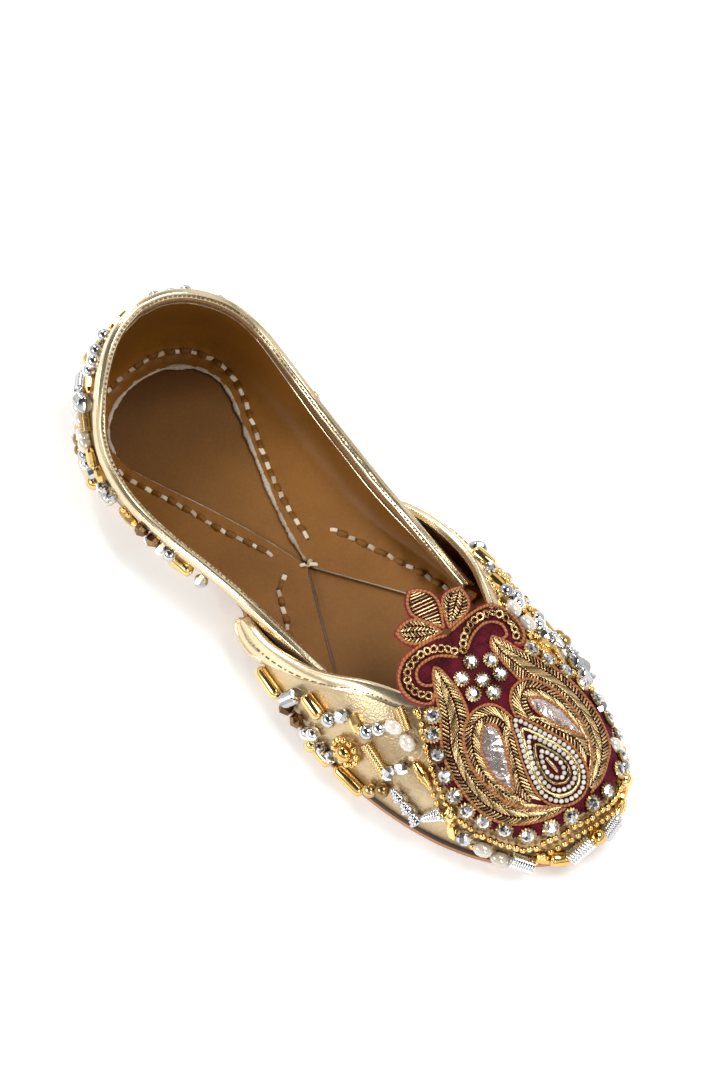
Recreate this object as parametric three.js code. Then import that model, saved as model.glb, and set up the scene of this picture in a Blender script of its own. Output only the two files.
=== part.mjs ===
// Mojari: a flat ethnic slip-on shoe with a beaded vamp, a folded quarter and an embroidered tongue patch.
// Millimetres. X runs from heel to toe, Y from side to side, Z up; the shoe stands on Z = 0.
import * as THREE from 'three';

// ---------------------------------------------------------------- driving sizes
const CENTRE_X = 0.95;          // moves the middle of the length onto X = 0
const SOLE_THICKNESS = 3.5;
const GAP = 0.3;                // clearance between neighbouring pieces
const FLOOR = SOLE_THICKNESS + GAP;
const INSOLE_THICKNESS = 2.3;
const WALL = 1.5;               // thickness of the upper leather
const RAND = 1.2;               // the sole shows this far beyond the upper
const BINDING = 0.9;            // thickness of the rolled edge binding
const BINDING_GAP = 0.48;       // its clearance over the curved edge
const BINDING_OUTSIDE = 3.6;    // how far the binding reaches down outside
const BINDING_INSIDE = 4.0;     // and inside
const PATCH_THICKNESS = 1.6;
const PATCH_GAP = 0.7;          // clearance of the patch over the curved vamp
const PATCH_RAISE = 1.3;        // extra lift of the patch where it crosses the binding
const SECTION_POWER = 2.2;      // fullness of the vamp from side to side
const UNDERCUT_HEIGHT = 11;     // the wall tucks in to the sole below this height
const LAP = { start: -42, end: -27, depth: WALL + 2 * GAP };  // the quarter steps in under the vamp
const CROSSING = { x: -20.4, shift: -1.6, reach: 30, gap: 0.8, slope: 0.585 };
const TOE_SPRING = { from: 85, over: 36.5, rise: 3.0 };
const WAIST = { at: -15, reach: 32, rise: 1.2 };
const TOE_SWING = { from: 50, over: 71.5, shift: 2.8 };
const HEEL_SWING = { from: -50, over: 70, shift: 1.8 };

// Plan outlines: a rounded heel, a short table for the middle, a rounded toe.
const SOLE = {
  heel: { x: -88, length: 34.5, half: 33.0, power: 2.15 },
  middle: [
    { x: -88, half: 33.0 },
    { x: -60, half: 30.4 },
    { x: -40, half: 29.8 },
    { x: -20, half: 32.4 },
    { x: 0, half: 37.9 },
    { x: 20, half: 42.3 },
    { x: 38, half: 44.2 },
  ],
  toe: { x: 38, length: 83.5, half: 44.2, power: 2.05 },
};
const VAMP_BULGE = {
  heel: SOLE.heel,
  middle: [
    { x: -26, half: 33.2 },
    { x: -12, half: 37.4 },
    { x: -4, half: 39.7 },
    { x: 8, half: 41.5 },
    { x: 25, half: 42.9 },
    { x: 38, half: 43.3 },
  ],
  toe: { x: 38, length: 82.7, half: 43.3, power: 2.05 },
};
// Height that the vamp's cross-sections reach at the centre line.
const CROWN = [
  { x: -26, z: 47.5 },
  { x: 0, z: 48.2 },
  { x: 25, z: 48.2 },
  { x: 38, z: 47.3 },
  { x: 50, z: 44.8 },
  { x: 60, z: 42.6 },
  { x: 80, z: 40.0 },
  { x: 100, z: 38.5 },
  { x: 121, z: 36.0 },
];
// Free edge of the vamp: share of the crown height at each station along the sole.
const VAMP_EDGE = [
  { t: 1.492, share: 0.05 },
  { t: 1.54, share: 0.17 },
  { t: 1.579, share: 0.28 },
  { t: 1.659, share: 0.355 },
  { t: 1.738, share: 0.45 },
  { t: 1.817, share: 0.555 },
  { t: 1.897, share: 0.675 },
  { t: 2.0, share: 0.815 },
  { t: 2.183, share: 0.885 },
  { t: 2.445, share: 0.948 },
  { t: 2.712, share: 0.969 },
  { t: 3.0, share: 0.975 },
];
// Quarter: top line of the wall, its outward bulge, and the inner edge of the turned-in flange.
const QUARTER = [
  { t: 0, topX: -114.6, topHalf: 0, topZ: 62.4, bulge: 5.0, edgeX: -115.8, edgeHalf: 0 },
  { t: 0.25, topX: -112.2, topHalf: 11, topZ: 61.8, bulge: 4.8, edgeX: -114, edgeHalf: 10 },
  { t: 0.5, topX: -106.5, topHalf: 21.3, topZ: 58.4, bulge: 4.2, edgeX: -109, edgeHalf: 18 },
  { t: 0.75, topX: -98, topHalf: 30.8, topZ: 50.2, bulge: 3.6, edgeX: -101.5, edgeHalf: 22.9 },
  { t: 1, topX: -88, topHalf: 37.2, topZ: 37.4, bulge: 3.0, edgeX: -90.5, edgeHalf: 23.4 },
  { t: 1.12, topX: -73.5, topHalf: 38.5, topZ: 28.6, bulge: 2.6, edgeX: -75, edgeHalf: 17.8 },
  { t: 1.25, topX: -57, topHalf: 37.2, topZ: 25.2, bulge: 2.0, edgeX: -57.5, edgeHalf: 11.1 },
  { t: 1.4, topX: -38, topHalf: 34.9, topZ: 24.4, bulge: 1.0, edgeX: -38.5, edgeHalf: 4.8 },
  { t: 1.537, topX: -20.4, topHalf: 33.0, topZ: 23.2, bulge: 0.2, edgeX: -20.4, edgeHalf: 0.4 },
  { t: 1.7, topX: 0, topHalf: 31.9, topZ: 22.6, bulge: 0.2, edgeX: 0, edgeHalf: 0.4 },
  { t: 1.913, topX: 26, topHalf: 30.2, topZ: 21.8, bulge: 0.2, edgeX: 26.3, edgeHalf: 0.4 },
];
// Outline of the embroidered patch, seen from above, once round.
const PATCH_CENTRE = { x: 75, y: 0 };
const PATCH = [
  { x: 24.4, y: 1.5 }, { x: 26.3, y: -2.4 }, { x: 30.4, y: -7.2 }, { x: 32.6, y: -11.2 },
  { x: 36.8, y: -12.0 }, { x: 40.9, y: -12.4 }, { x: 42.2, y: -17.0 }, { x: 47.3, y: -20.6 },
  { x: 54.5, y: -20.8 }, { x: 61.0, y: -22.3 }, { x: 70.0, y: -26.8 }, { x: 80.0, y: -30.0 },
  { x: 88.0, y: -30.0 }, { x: 95.5, y: -28.4 }, { x: 102.0, y: -25.0 }, { x: 108.0, y: -20.0 },
  { x: 112.0, y: -13.5 }, { x: 114.2, y: -6.0 }, { x: 115.0, y: 2.6 }, { x: 114.2, y: 11.0 },
  { x: 110.5, y: 19.6 }, { x: 105.5, y: 24.8 }, { x: 99.5, y: 28.6 }, { x: 93.0, y: 30.6 },
  { x: 86.0, y: 31.2 }, { x: 79.0, y: 31.0 }, { x: 72.5, y: 28.8 }, { x: 65.5, y: 25.2 },
  { x: 58.8, y: 24.2 }, { x: 52.8, y: 26.6 }, { x: 46.6, y: 25.0 }, { x: 43.2, y: 21.6 },
  { x: 36.2, y: 20.3 }, { x: 32.6, y: 17.8 }, { x: 31.0, y: 10.3 }, { x: 26.6, y: 5.4 },
];

// ---------------------------------------------------------------- small maths
const clamp = (value, low, high) => Math.min(Math.max(value, low), high);
const lerp = (a, b, share) => a + (b - a) * share;
const smooth = (from, to, value) => {
  const share = clamp((value - from) / (to - from), 0, 1);
  return share * share * (3 - 2 * share);
};

// Smooth curve through one column of a table; flat asks for level ends.
function column(rows, key, value, flat = false, along = 'x') {
  const last = rows.length - 1;
  const at = clamp(value, rows[0][along], rows[last][along]);
  let i = 0;
  while (i < last - 1 && at > rows[i + 1][along]) {
    i += 1;
  }
  const slope = (k) => {
    const low = Math.max(k - 1, 0);
    const high = Math.min(k + 1, last);
    if (flat && (k === 0 || k === last)) {
      return 0;
    }
    return (rows[high][key] - rows[low][key]) / (rows[high][along] - rows[low][along]);
  };
  const width = rows[i + 1][along] - rows[i][along];
  const s = (at - rows[i][along]) / width;
  const a = 2 * s ** 3 - 3 * s ** 2 + 1;
  const b = s ** 3 - 2 * s ** 2 + s;
  const c = -2 * s ** 3 + 3 * s ** 2;
  const d = s ** 3 - s ** 2;
  return a * rows[i][key] + b * width * slope(i) + c * rows[i + 1][key] + d * width * slope(i + 1);
}

const add = (a, b, scale = 1) => a.map((value, i) => value + b[i] * scale);
const unit = (v) => {
  const length = Math.hypot(...v) || 1;
  return v.map((value) => value / length);
};
const cross = (a, b) => [
  a[1] * b[2] - a[2] * b[1],
  a[2] * b[0] - a[0] * b[2],
  a[0] * b[1] - a[1] * b[0],
];
const minus = (a, b) => add(a, b, -1);
const mirror = ([x, y, z]) => [x, -y, z];

// The whole shoe is drawn on a level floor and then bent: toe spring,
// raised waist, and toe and heel swung slightly to one side.
function settle([x, y, z]) {
  const toe = Math.max(x - TOE_SPRING.from, 0) / TOE_SPRING.over;
  const waist = Math.max(1 - ((x - WAIST.at) / WAIST.reach) ** 2, 0);
  const toeSwing = TOE_SWING.shift * (Math.max(x - TOE_SWING.from, 0) / TOE_SWING.over) ** 2;
  const heelSwing = HEEL_SWING.shift * (Math.max(HEEL_SWING.from - x, 0) / HEEL_SWING.over) ** 2;
  const lift = TOE_SPRING.rise * toe ** 2 + WAIST.rise * waist;
  return [x + CENTRE_X, y + toeSwing + heelSwing, z + lift];
}

// ---------------------------------------------------------------- outlines in plan
// Station t: 0 at the back of the heel, 1 to 2 along the side, 3 at the tip of the toe.
const stationAt = (x) => 1 + (x - SOLE.heel.x) / (SOLE.toe.x - SOLE.heel.x);

function outline(shape, t, inset = 0) {
  if (t < 1) {
    const { x, length, half, power } = shape.heel;
    const angle = t * Math.PI / 2;
    return [
      x - (length - inset) * Math.cos(angle) ** (2 / power),
      (half - inset) * Math.sin(angle) ** (2 / power),
    ];
  }
  if (t <= 2) {
    const x = lerp(SOLE.heel.x, SOLE.toe.x, t - 1);
    return [x, column(shape.middle, 'half', x, true) - inset];
  }
  const { x, length, half, power } = shape.toe;
  const angle = (3 - t) * Math.PI / 2;
  return [
    x + (length - inset) * Math.abs(Math.cos(angle)) ** (2 / power),
    (half - inset) * Math.sin(angle) ** (2 / power),
  ];
}

// ---------------------------------------------------------------- surfaces
// Outside of the vamp: q is 0 at the sole and grows up over the foot.
function vampPoint(t, q) {
  const [mx, my] = outline(VAMP_BULGE, t);
  const [, baseHalf] = outline(SOLE, Math.min(t, 2), RAND);
  const [, bulgeHalf] = outline(VAMP_BULGE, Math.min(t, 2));
  const plan = Math.cos(q) ** (2 / SECTION_POWER);
  const rise = Math.sin(q) ** (2 / SECTION_POWER);
  const centre = SOLE.toe.x;
  const x = t > 2 ? centre + plan * (mx - centre) : mx;
  const z = FLOOR + rise * (column(CROWN, 'z', x) - FLOOR);
  const tuck = (1 - baseHalf / bulgeHalf) * (1 - clamp((z - FLOOR) / UNDERCUT_HEIGHT, 0, 1)) ** 2;
  return [t > 2 ? centre + (x - centre) * (1 - tuck) : x, plan * my * (1 - tuck), z];
}

function vampTop(t) {
  return Math.asin(clamp(column(VAMP_EDGE, 'share', t, true, 't'), 0, 1) ** (SECTION_POWER / 2));
}

// Height of the vamp's outside over a point in plan, carried on over the opening.
function vampHeight(x, y) {
  const { length, half, power } = VAMP_BULGE.toe;
  const ahead = Math.max(x - SOLE.toe.x, 0) / length;
  const width = x > SOLE.toe.x ? half : column(VAMP_BULGE.middle, 'half', x, true);
  const reach = (ahead ** power + (Math.abs(y) / width) ** power) ** (1 / power);
  const rise = (1 - clamp(reach, 0, 1) ** SECTION_POWER) ** (1 / SECTION_POWER);
  return FLOOR + rise * (column(CROWN, 'z', x) - FLOOR);
}

const lapDepth = (x) => LAP.depth * smooth(LAP.start, LAP.end, x);

function quarterFoot(t) {
  const [x] = outline(SOLE, t, RAND);
  return outline(SOLE, t, RAND + lapDepth(x));
}

// Outside of the quarter: v is 0 at the sole and 1 at the top line.
function quarterPoint(t, v) {
  const foot = quarterFoot(t);
  const ahead = quarterFoot(t + 0.01);
  const behind = t < 0.01 ? [foot[0], foot[1] - 1] : quarterFoot(t - 0.01);
  const out = unit([behind[1] - ahead[1], ahead[0] - behind[0]]);
  const get = (key) => column(QUARTER, key, t, false, 't');
  const bulge = get('bulge') * Math.sin(Math.PI * v ** 0.75);
  const topHalf = t === 0 ? 0 : get('topHalf');
  return [
    lerp(foot[0], get('topX'), v) + out[0] * bulge,
    t === 0 ? 0 : lerp(foot[1], topHalf, v) + out[1] * bulge,
    lerp(FLOOR, get('topZ'), v),
  ];
}

// Unit normal of a surface at (a, b), pointing away from the inside of the shoe.
function normal(surface, a, b, low, high) {
  const step = 0.004;
  const right = Math.min(a + step, 2.9999);
  const left = Math.max(a - step, 0.0001);
  const up = Math.min(b + step, high);
  const down = Math.max(b - step, low);
  const across = minus(surface(right, b), surface(left, b));
  const rise = minus(surface(a, up), surface(a, down));
  return unit(cross(rise, across));
}

// ---------------------------------------------------------------- meshes
function solid(points, faces) {
  const volume = faces.reduce((sum, [a, b, c]) => {
    const [p, q, r] = [points[a], points[b], points[c]];
    return sum + p[0] * (q[1] * r[2] - q[2] * r[1])
      - p[1] * (q[0] * r[2] - q[2] * r[0])
      + p[2] * (q[0] * r[1] - q[1] * r[0]);
  }, 0);
  const index = faces.flatMap(([a, b, c]) => (volume < 0 ? [a, c, b] : [a, b, c]));
  const geometry = new THREE.BufferGeometry();
  geometry.setAttribute('position', new THREE.Float32BufferAttribute(points.flatMap(settle), 3));
  geometry.setIndex(index);
  geometry.computeVertexNormals();
  return geometry;
}

const quad = (a, b, c, d) => [[a, b, c], [a, c, d]];

// Skin over a row of closed sections with the same number of points each, closed at both ends.
function loft(sections, endShape) {
  const count = sections[0].length;
  const points = sections.flat();
  const faces = [];
  for (let i = 0; i < sections.length - 1; i += 1) {
    for (let j = 0; j < count; j += 1) {
      const k = (j + 1) % count;
      faces.push(...quad(i * count + j, i * count + k, (i + 1) * count + k, (i + 1) * count + j));
    }
  }
  const flat = endShape.map(([a, b]) => new THREE.Vector2(a, b));
  const winding = (corners) => Math.sign(THREE.ShapeUtils.area(corners));
  const end = (sections.length - 1) * count;
  THREE.ShapeUtils.triangulateShape(flat, []).forEach(([a, b, c]) => {
    const agrees = winding([flat[a], flat[b], flat[c]]) === winding(flat);
    const [p, q, r] = agrees ? [a, b, c] : [a, c, b];
    faces.push([p, r, q], [p + end, q + end, r + end]);
  });
  return { points, faces };
}

// Both halves of a row of sections: one side, then the same ones mirrored, in one run.
function bothSides(stations, section) {
  const far = stations.map((t) => section(t, 1));
  const near = stations.map((t) => section(t, -1).map(mirror));
  const middle = stations[stations.length - 1];
  const meets = middle === 3 || middle === 0;
  return [...near, ...far.reverse().slice(meets ? 1 : 0)];
}

const ladder = (from, to, steps) => Array.from({ length: steps + 1 }, (_, i) => lerp(from, to, i / steps));

// ---------------------------------------------------------------- vamp and quarter
const VAMP_STEPS = 11;
const vampStations = [...ladder(1.492, 2, 15), ...ladder(2, 3, 13).slice(1)];

function vampSection(t) {
  const top = vampTop(t);
  const rungs = ladder(0, top, VAMP_STEPS);
  const outside = rungs.map((q) => vampPoint(t, q));
  const inside = rungs.map((q) => {
    const point = add(vampPoint(t, q), normal(vampPoint, t, q, 0.001, 1.5), -WALL);
    return q === 0 ? [point[0], point[1], FLOOR] : point;
  });
  if (t === 3) {
    inside.forEach((point) => {
      point[1] = 0;
    });
  }
  return [...outside, ...inside.reverse()];
}

const flatten = (section) => section.map(([, y, z]) => [y, z]);

function makeVamp() {
  const sections = bothSides(vampStations, vampSection);
  return loft(sections, flatten(vampSection(vampStations[0])));
}

const WALL_STEPS = 8;
const FLANGE_BOTTOM = FLOOR + INSOLE_THICKNESS + GAP;
const FLANGE_TOP = FLANGE_BOTTOM + WALL;
const FILLET = 6.5;
const quarterStations = [
  ...ladder(1.913, 1.537, 8),
  ...ladder(1.537, 1, 10).slice(1),
  ...ladder(1, 0, 11).slice(1),
];

function flangeEdge(t, side) {
  const corner = 1.537;
  const back = QUARTER.filter((row) => row.t <= corner);
  const x = column(QUARTER, 'edgeX', t, false, 't');
  const half = t > corner
    ? CROSSING.gap / 2 + CROSSING.slope * (x - CROSSING.x)
    : column(back, 'edgeHalf', t, false, 't');
  const drift = CROSSING.shift * Math.exp(-(((x - CROSSING.x) / CROSSING.reach) ** 2));
  return [x, (t === 0 ? 0 : half) + side * drift];
}

function quarterSection(t, side) {
  const inset = (v) => {
    const point = add(quarterPoint(t, v), normal(quarterPoint, t, v, 0, 1), -WALL);
    return t === 0 ? [point[0], 0, point[2]] : point;
  };
  const topZ = quarterPoint(t, 1)[2];
  const filletV = (FLANGE_TOP + FILLET - FLOOR) / (topZ - FLOOR);
  const outside = ladder(0, 1, WALL_STEPS).map((v) => quarterPoint(t, v));
  const inside = ladder(1, filletV, WALL_STEPS - 2).map(inset);
  const foot = inset(0);
  const heel = inset((FLANGE_TOP - FLOOR) / (topZ - FLOOR));
  const edge = flangeEdge(t, side);
  const width = Math.hypot(edge[0] - heel[0], edge[1] - heel[1]);
  const reach = Math.min(FILLET, width * 0.6) / width;
  const toe = [lerp(heel[0], edge[0], reach), lerp(heel[1], edge[1], reach), FLANGE_TOP];
  const start = inside[inside.length - 1];
  const bend = [0.3, 0.65].map((s) => [0, 1, 2].map((i) => (
    (1 - s) ** 2 * start[i] + 2 * s * (1 - s) * [heel[0], heel[1], FLANGE_TOP][i] + s ** 2 * toe[i]
  )));
  const middle = [lerp(toe[0], edge[0], 0.5), lerp(toe[1], edge[1], 0.5), FLANGE_TOP];
  return [
    ...outside,
    ...inside,
    ...bend,
    toe,
    middle,
    [edge[0], edge[1], FLANGE_TOP],
    [edge[0], edge[1], FLANGE_BOTTOM],
    [lerp(foot[0], edge[0], 0.5), lerp(foot[1], edge[1], 0.5), FLANGE_BOTTOM],
    [foot[0], foot[1], FLANGE_BOTTOM],
    [foot[0], foot[1], FLOOR],
  ];
}

function makeQuarter() {
  const sections = bothSides(quarterStations, quarterSection);
  return loft(sections, flatten(quarterSection(quarterStations[0], 1)));
}

// ---------------------------------------------------------------- rolled bindings
// Channel over an edge, drawn as [out, up] from the outer corner of the edge.
function channelShape() {
  const inner = WALL / 2 + BINDING_GAP;
  const outer = inner + BINDING;
  const centre = -WALL / 2;
  const arc = (radius, angles) => angles.map((a) => [
    centre + radius * Math.cos(a * Math.PI / 180),
    radius * Math.sin(a * Math.PI / 180),
  ]);
  return [
    [centre + outer, -BINDING_OUTSIDE],
    ...arc(outer, [0, 45, 90, 135, 180]),
    [centre - outer, -BINDING_INSIDE],
    [centre - inner, -BINDING_INSIDE],
    ...arc(inner, [180, 90, 0]),
    [centre + inner, -BINDING_OUTSIDE],
  ];
}

function makeBinding(stations, surface, topOf) {
  const shape = channelShape();
  const section = (t) => {
    const top = topOf(t);
    const edge = surface(t, top);
    const below = surface(t, top - 0.06 * top);
    const up = unit(minus(edge, below));
    const out = normal(surface, t, top, 0.001, top);
    const square = unit(add(out, up, -(out[0] * up[0] + out[1] * up[1] + out[2] * up[2])));
    return shape.map(([o, u]) => {
      const point = add(add(edge, square, o), up, u);
      return t === 0 || t === 3 ? [point[0], 0, point[2]] : point;
    });
  };
  return loft(bothSides(stations, section), shape);
}

// ---------------------------------------------------------------- sole and insole
const ringStations = [...ladder(0, 1, 9), ...ladder(1, 2, 14).slice(1), ...ladder(2, 3, 12).slice(1)];

// Flat plate from an outline: levels lists [inset, z] from the bottom face to the top face.
function makePlate(planPoint, levels) {
  const inner = ringStations.slice(1, -1);
  const points = [];
  levels.forEach(([inset, z]) => {
    ringStations.forEach((t) => {
      const [x, y] = planPoint(t, inset);
      points.push([x, t === 0 || t === 3 ? 0 : y, z]);
    });
    inner.forEach((t) => {
      const [x, y] = planPoint(t, inset);
      points.push([x, -y, z]);
    });
  });
  const size = ringStations.length + inner.length;
  const last = ringStations.length - 1;
  const far = (level, i) => level * size + i;
  const near = (level, i) => (i === 0 || i === last ? far(level, i) : level * size + last + i);
  const faces = [];
  const keep = (face) => new Set(face).size === 3 && faces.push(face);
  for (let level = 0; level < levels.length - 1; level += 1) {
    for (let i = 0; i < last; i += 1) {
      quad(far(level, i), far(level + 1, i), far(level + 1, i + 1), far(level, i + 1)).forEach(keep);
      quad(near(level, i), near(level, i + 1), near(level + 1, i + 1), near(level + 1, i)).forEach(keep);
    }
  }
  const top = levels.length - 1;
  for (let i = 0; i < last; i += 1) {
    quad(far(0, i), far(0, i + 1), near(0, i + 1), near(0, i)).forEach(keep);
    quad(far(top, i), near(top, i), near(top, i + 1), far(top, i + 1)).forEach(keep);
  }
  return { points, faces };
}

const solePlan = (t, inset) => outline(SOLE, t, inset);

function insolePlan(t, inset) {
  const [x] = outline(SOLE, t, RAND);
  const underLap = lapDepth(x + 3) * (1 - smooth(27.5, 37, x));
  return outline(SOLE, t, RAND + WALL + GAP + underLap + inset);
}

const soleLevels = [[0.6, 0], [0, 0.6], [0, SOLE_THICKNESS - 0.5], [0.5, SOLE_THICKNESS]];
const insoleLevels = [[0.1, FLOOR], [0, FLOOR + 0.4], [0.1, FLOOR + INSOLE_THICKNESS]];

// ---------------------------------------------------------------- embroidered patch
function patchPoint(x, y, raise) {
  const step = 0.2;
  const at = (px, py) => [px, py, vampHeight(px, py)];
  const along = minus(at(x + step, y), at(x - step, y));
  const across = minus(at(x, y + step), at(x, y - step));
  return add(at(x, y), unit(cross(along, across)), raise);
}

// Under the patch the binding of the throat stands proud, so the patch rises over it.
function patchRaise(x, y) {
  const beyondThroat = Math.hypot((x + 13) / 73, y / 38) - 1;
  return PATCH_GAP + PATCH_RAISE * (1 - smooth(0.12, 0.3, beyondThroat));
}

function makePatch() {
  const rings = [0.2, 0.4, 0.58, 0.74, 0.88, 1];
  const count = 60;
  const corners = PATCH.map(({ x, y }) => new THREE.Vector3(x, y, 0));
  const rim = new THREE.CatmullRomCurve3(corners, true, 'centripetal').getSpacedPoints(count).slice(0, count);
  const points = [];
  [0, PATCH_THICKNESS].forEach((height) => {
    const put = (x, y) => points.push(patchPoint(x, y, patchRaise(x, y) + height));
    put(PATCH_CENTRE.x, PATCH_CENTRE.y);
    rings.forEach((share) => {
      rim.forEach((corner) => {
        put(lerp(PATCH_CENTRE.x, corner.x, share), lerp(PATCH_CENTRE.y, corner.y, share));
      });
    });
  });
  const layer = 1 + rings.length * count;
  const at = (side, ring, i) => side * layer + 1 + ring * count + (i % count);
  const faces = [];
  for (let i = 0; i < count; i += 1) {
    faces.push([0, at(0, 0, i), at(0, 0, i + 1)]);
    faces.push([layer, at(1, 0, i + 1), at(1, 0, i)]);
    for (let ring = 0; ring < rings.length - 1; ring += 1) {
      faces.push(...quad(at(0, ring, i), at(0, ring + 1, i), at(0, ring + 1, i + 1), at(0, ring, i + 1)));
      faces.push(...quad(at(1, ring, i), at(1, ring, i + 1), at(1, ring + 1, i + 1), at(1, ring + 1, i)));
    }
    const edge = rings.length - 1;
    faces.push(...quad(at(0, edge, i), at(1, edge, i), at(1, edge, i + 1), at(0, edge, i + 1)));
  }
  return { points, faces };
}

// ---------------------------------------------------------------- the part
const leatherTan = new THREE.MeshStandardMaterial({ color: '#c48a58', roughness: 0.62, metalness: 0 });
const leatherBrown = new THREE.MeshStandardMaterial({ color: '#8f6238', roughness: 0.55, metalness: 0 });
const leatherGold = new THREE.MeshStandardMaterial({ color: '#dcc08c', roughness: 0.38, metalness: 0.6 });
const liningTan = new THREE.MeshStandardMaterial({ color: '#a9733f', roughness: 0.5, metalness: 0 });
const rolledGold = new THREE.MeshStandardMaterial({ color: '#e3c58a', roughness: 0.3, metalness: 0.7 });
const velvet = new THREE.MeshStandardMaterial({ color: '#6a1a22', roughness: 0.9, metalness: 0 });

const bindingStations = vampStations.filter((t) => t > 1.53);
const pieces = [
  ['outsole', makePlate(solePlan, soleLevels), leatherTan],
  ['insole', makePlate(insolePlan, insoleLevels), leatherBrown],
  ['upper_vamp', makeVamp(), leatherGold],
  ['upper_quarter', makeQuarter(), liningTan],
  ['vamp_binding', makeBinding(bindingStations, vampPoint, vampTop), rolledGold],
  ['quarter_binding', makeBinding(quarterStations, quarterPoint, () => 1), rolledGold],
  ['vamp_patch', makePatch(), velvet],
];

const group = new THREE.Group();
group.name = 'mojari_shoe';
pieces.forEach(([name, { points, faces }, material]) => {
  const mesh = new THREE.Mesh(solid(points, faces), material);
  mesh.name = name;
  group.add(mesh);
});

export default group;
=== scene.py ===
# %% [markdown]
# # A mojari in gold leather
# A mojari is a flat slip-on shoe of the south Asian wardrobe. Its front, the vamp, laps over
# the wings of a back quarter, both are sewn to a flat leather sole, and the toe carries an
# embroidered velvet badge. The measured frame of the shoe is loaded first, and every piece is
# made to lie on it.

# %% Load the frame
import bpy, math, random
import numpy as np
from mathutils import Matrix, Vector
from mathutils.bvhtree import BVHTree


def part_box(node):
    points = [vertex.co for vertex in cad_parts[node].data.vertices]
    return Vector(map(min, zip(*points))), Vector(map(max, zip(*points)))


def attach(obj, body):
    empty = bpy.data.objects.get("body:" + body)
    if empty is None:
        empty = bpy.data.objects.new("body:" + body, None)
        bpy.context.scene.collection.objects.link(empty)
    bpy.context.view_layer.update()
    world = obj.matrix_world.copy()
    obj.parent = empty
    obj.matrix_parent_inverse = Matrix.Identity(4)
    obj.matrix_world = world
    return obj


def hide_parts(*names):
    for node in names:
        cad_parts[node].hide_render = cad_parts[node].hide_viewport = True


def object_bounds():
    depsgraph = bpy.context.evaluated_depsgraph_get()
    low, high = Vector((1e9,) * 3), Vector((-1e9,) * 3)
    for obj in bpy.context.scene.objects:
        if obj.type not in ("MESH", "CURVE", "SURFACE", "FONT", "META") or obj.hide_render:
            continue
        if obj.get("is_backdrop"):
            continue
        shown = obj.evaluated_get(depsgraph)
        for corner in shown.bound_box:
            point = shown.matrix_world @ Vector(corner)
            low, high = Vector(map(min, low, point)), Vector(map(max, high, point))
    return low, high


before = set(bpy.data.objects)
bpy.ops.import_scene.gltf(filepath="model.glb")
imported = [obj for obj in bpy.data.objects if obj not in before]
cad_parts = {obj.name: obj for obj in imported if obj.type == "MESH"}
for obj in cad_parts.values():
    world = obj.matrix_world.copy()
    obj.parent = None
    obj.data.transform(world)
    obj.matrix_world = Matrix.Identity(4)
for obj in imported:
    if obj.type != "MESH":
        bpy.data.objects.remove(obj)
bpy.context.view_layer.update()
bpy.ops.object.select_all(action="DESELECT")
MM = 0.001

# %% [markdown]
# ## Camera, floor and light
# A small shiny thing shows its surroundings, so the light is part of the material. Large soft
# lamps over a pale floor give the long highlights of a rolled gold edge, and a darker band in
# the sky gives those highlights something to stand against.

# %% Camera
AIM, REACH = Vector((-18.476, 22.033, 0)) * MM, 1637.708 * MM
AZIMUTH, ELEVATION, ROLL = (math.radians(a) for a in (44.2597, 62.5530, 4.0007))
camera = bpy.data.objects.new("camera", bpy.data.cameras.new("camera"))
bpy.context.scene.collection.objects.link(camera)
bpy.context.scene.camera = camera
camera.data.lens, camera.data.sensor_width = 155.944, 36
camera.data.clip_start, camera.data.clip_end = 0.05, 20
level = math.cos(ELEVATION)
back = Vector((math.sin(AZIMUTH) * level, -math.cos(AZIMUTH) * level, math.sin(ELEVATION)))
right = Vector((0, 0, 1)).cross(back).normalized()
turn = Matrix.Rotation(ROLL, 3, back)
right = turn @ right
up = back.cross(right)
facing = Matrix((right, up, back)).transposed().to_4x4()
camera.matrix_world = Matrix.Translation(AIM + back * REACH) @ facing
print("camera stands", round(REACH, 3), "m away")

# %% Node helpers
def add(tree, kind, settings=None, **inputs):
    """Adds a node. An input is given by its name, or by its number as i0, i1 and so on."""
    node = tree.nodes.new(kind)
    for key, value in (settings or {}).items():
        setattr(node, key, value)
    for key, value in inputs.items():
        numbered = key[0] == "i" and key[1:].isdigit()
        socket = node.inputs[int(key[1:]) if numbered else key.replace("_", " ")]
        if isinstance(value, bpy.types.NodeSocket):
            tree.links.new(value, socket)
        else:
            socket.default_value = value
    return node

def maths(tree, operation, *values):
    numbered = {f"i{k}": value for k, value in enumerate(values)}
    return add(tree, "ShaderNodeMath", {"operation": operation}, **numbered).outputs[0]

def object_place(tree):
    return add(tree, "ShaderNodeTexCoord").outputs["Object"]

def noise(tree, scale, detail=2.0, **inputs):
    inputs.update(Vector=object_place(tree), Scale=scale, Detail=detail)
    return add(tree, "ShaderNodeTexNoise", **inputs).outputs[0]

def ramp(tree, factor, *stops):
    node = add(tree, "ShaderNodeValToRGB", Fac=factor)
    while len(node.color_ramp.elements) < len(stops):
        node.color_ramp.elements.new(0.5)
    for element, (place, colour) in zip(node.color_ramp.elements, stops):
        element.position, element.color = place, (*colour, 1)
    return node.outputs[0]

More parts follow.
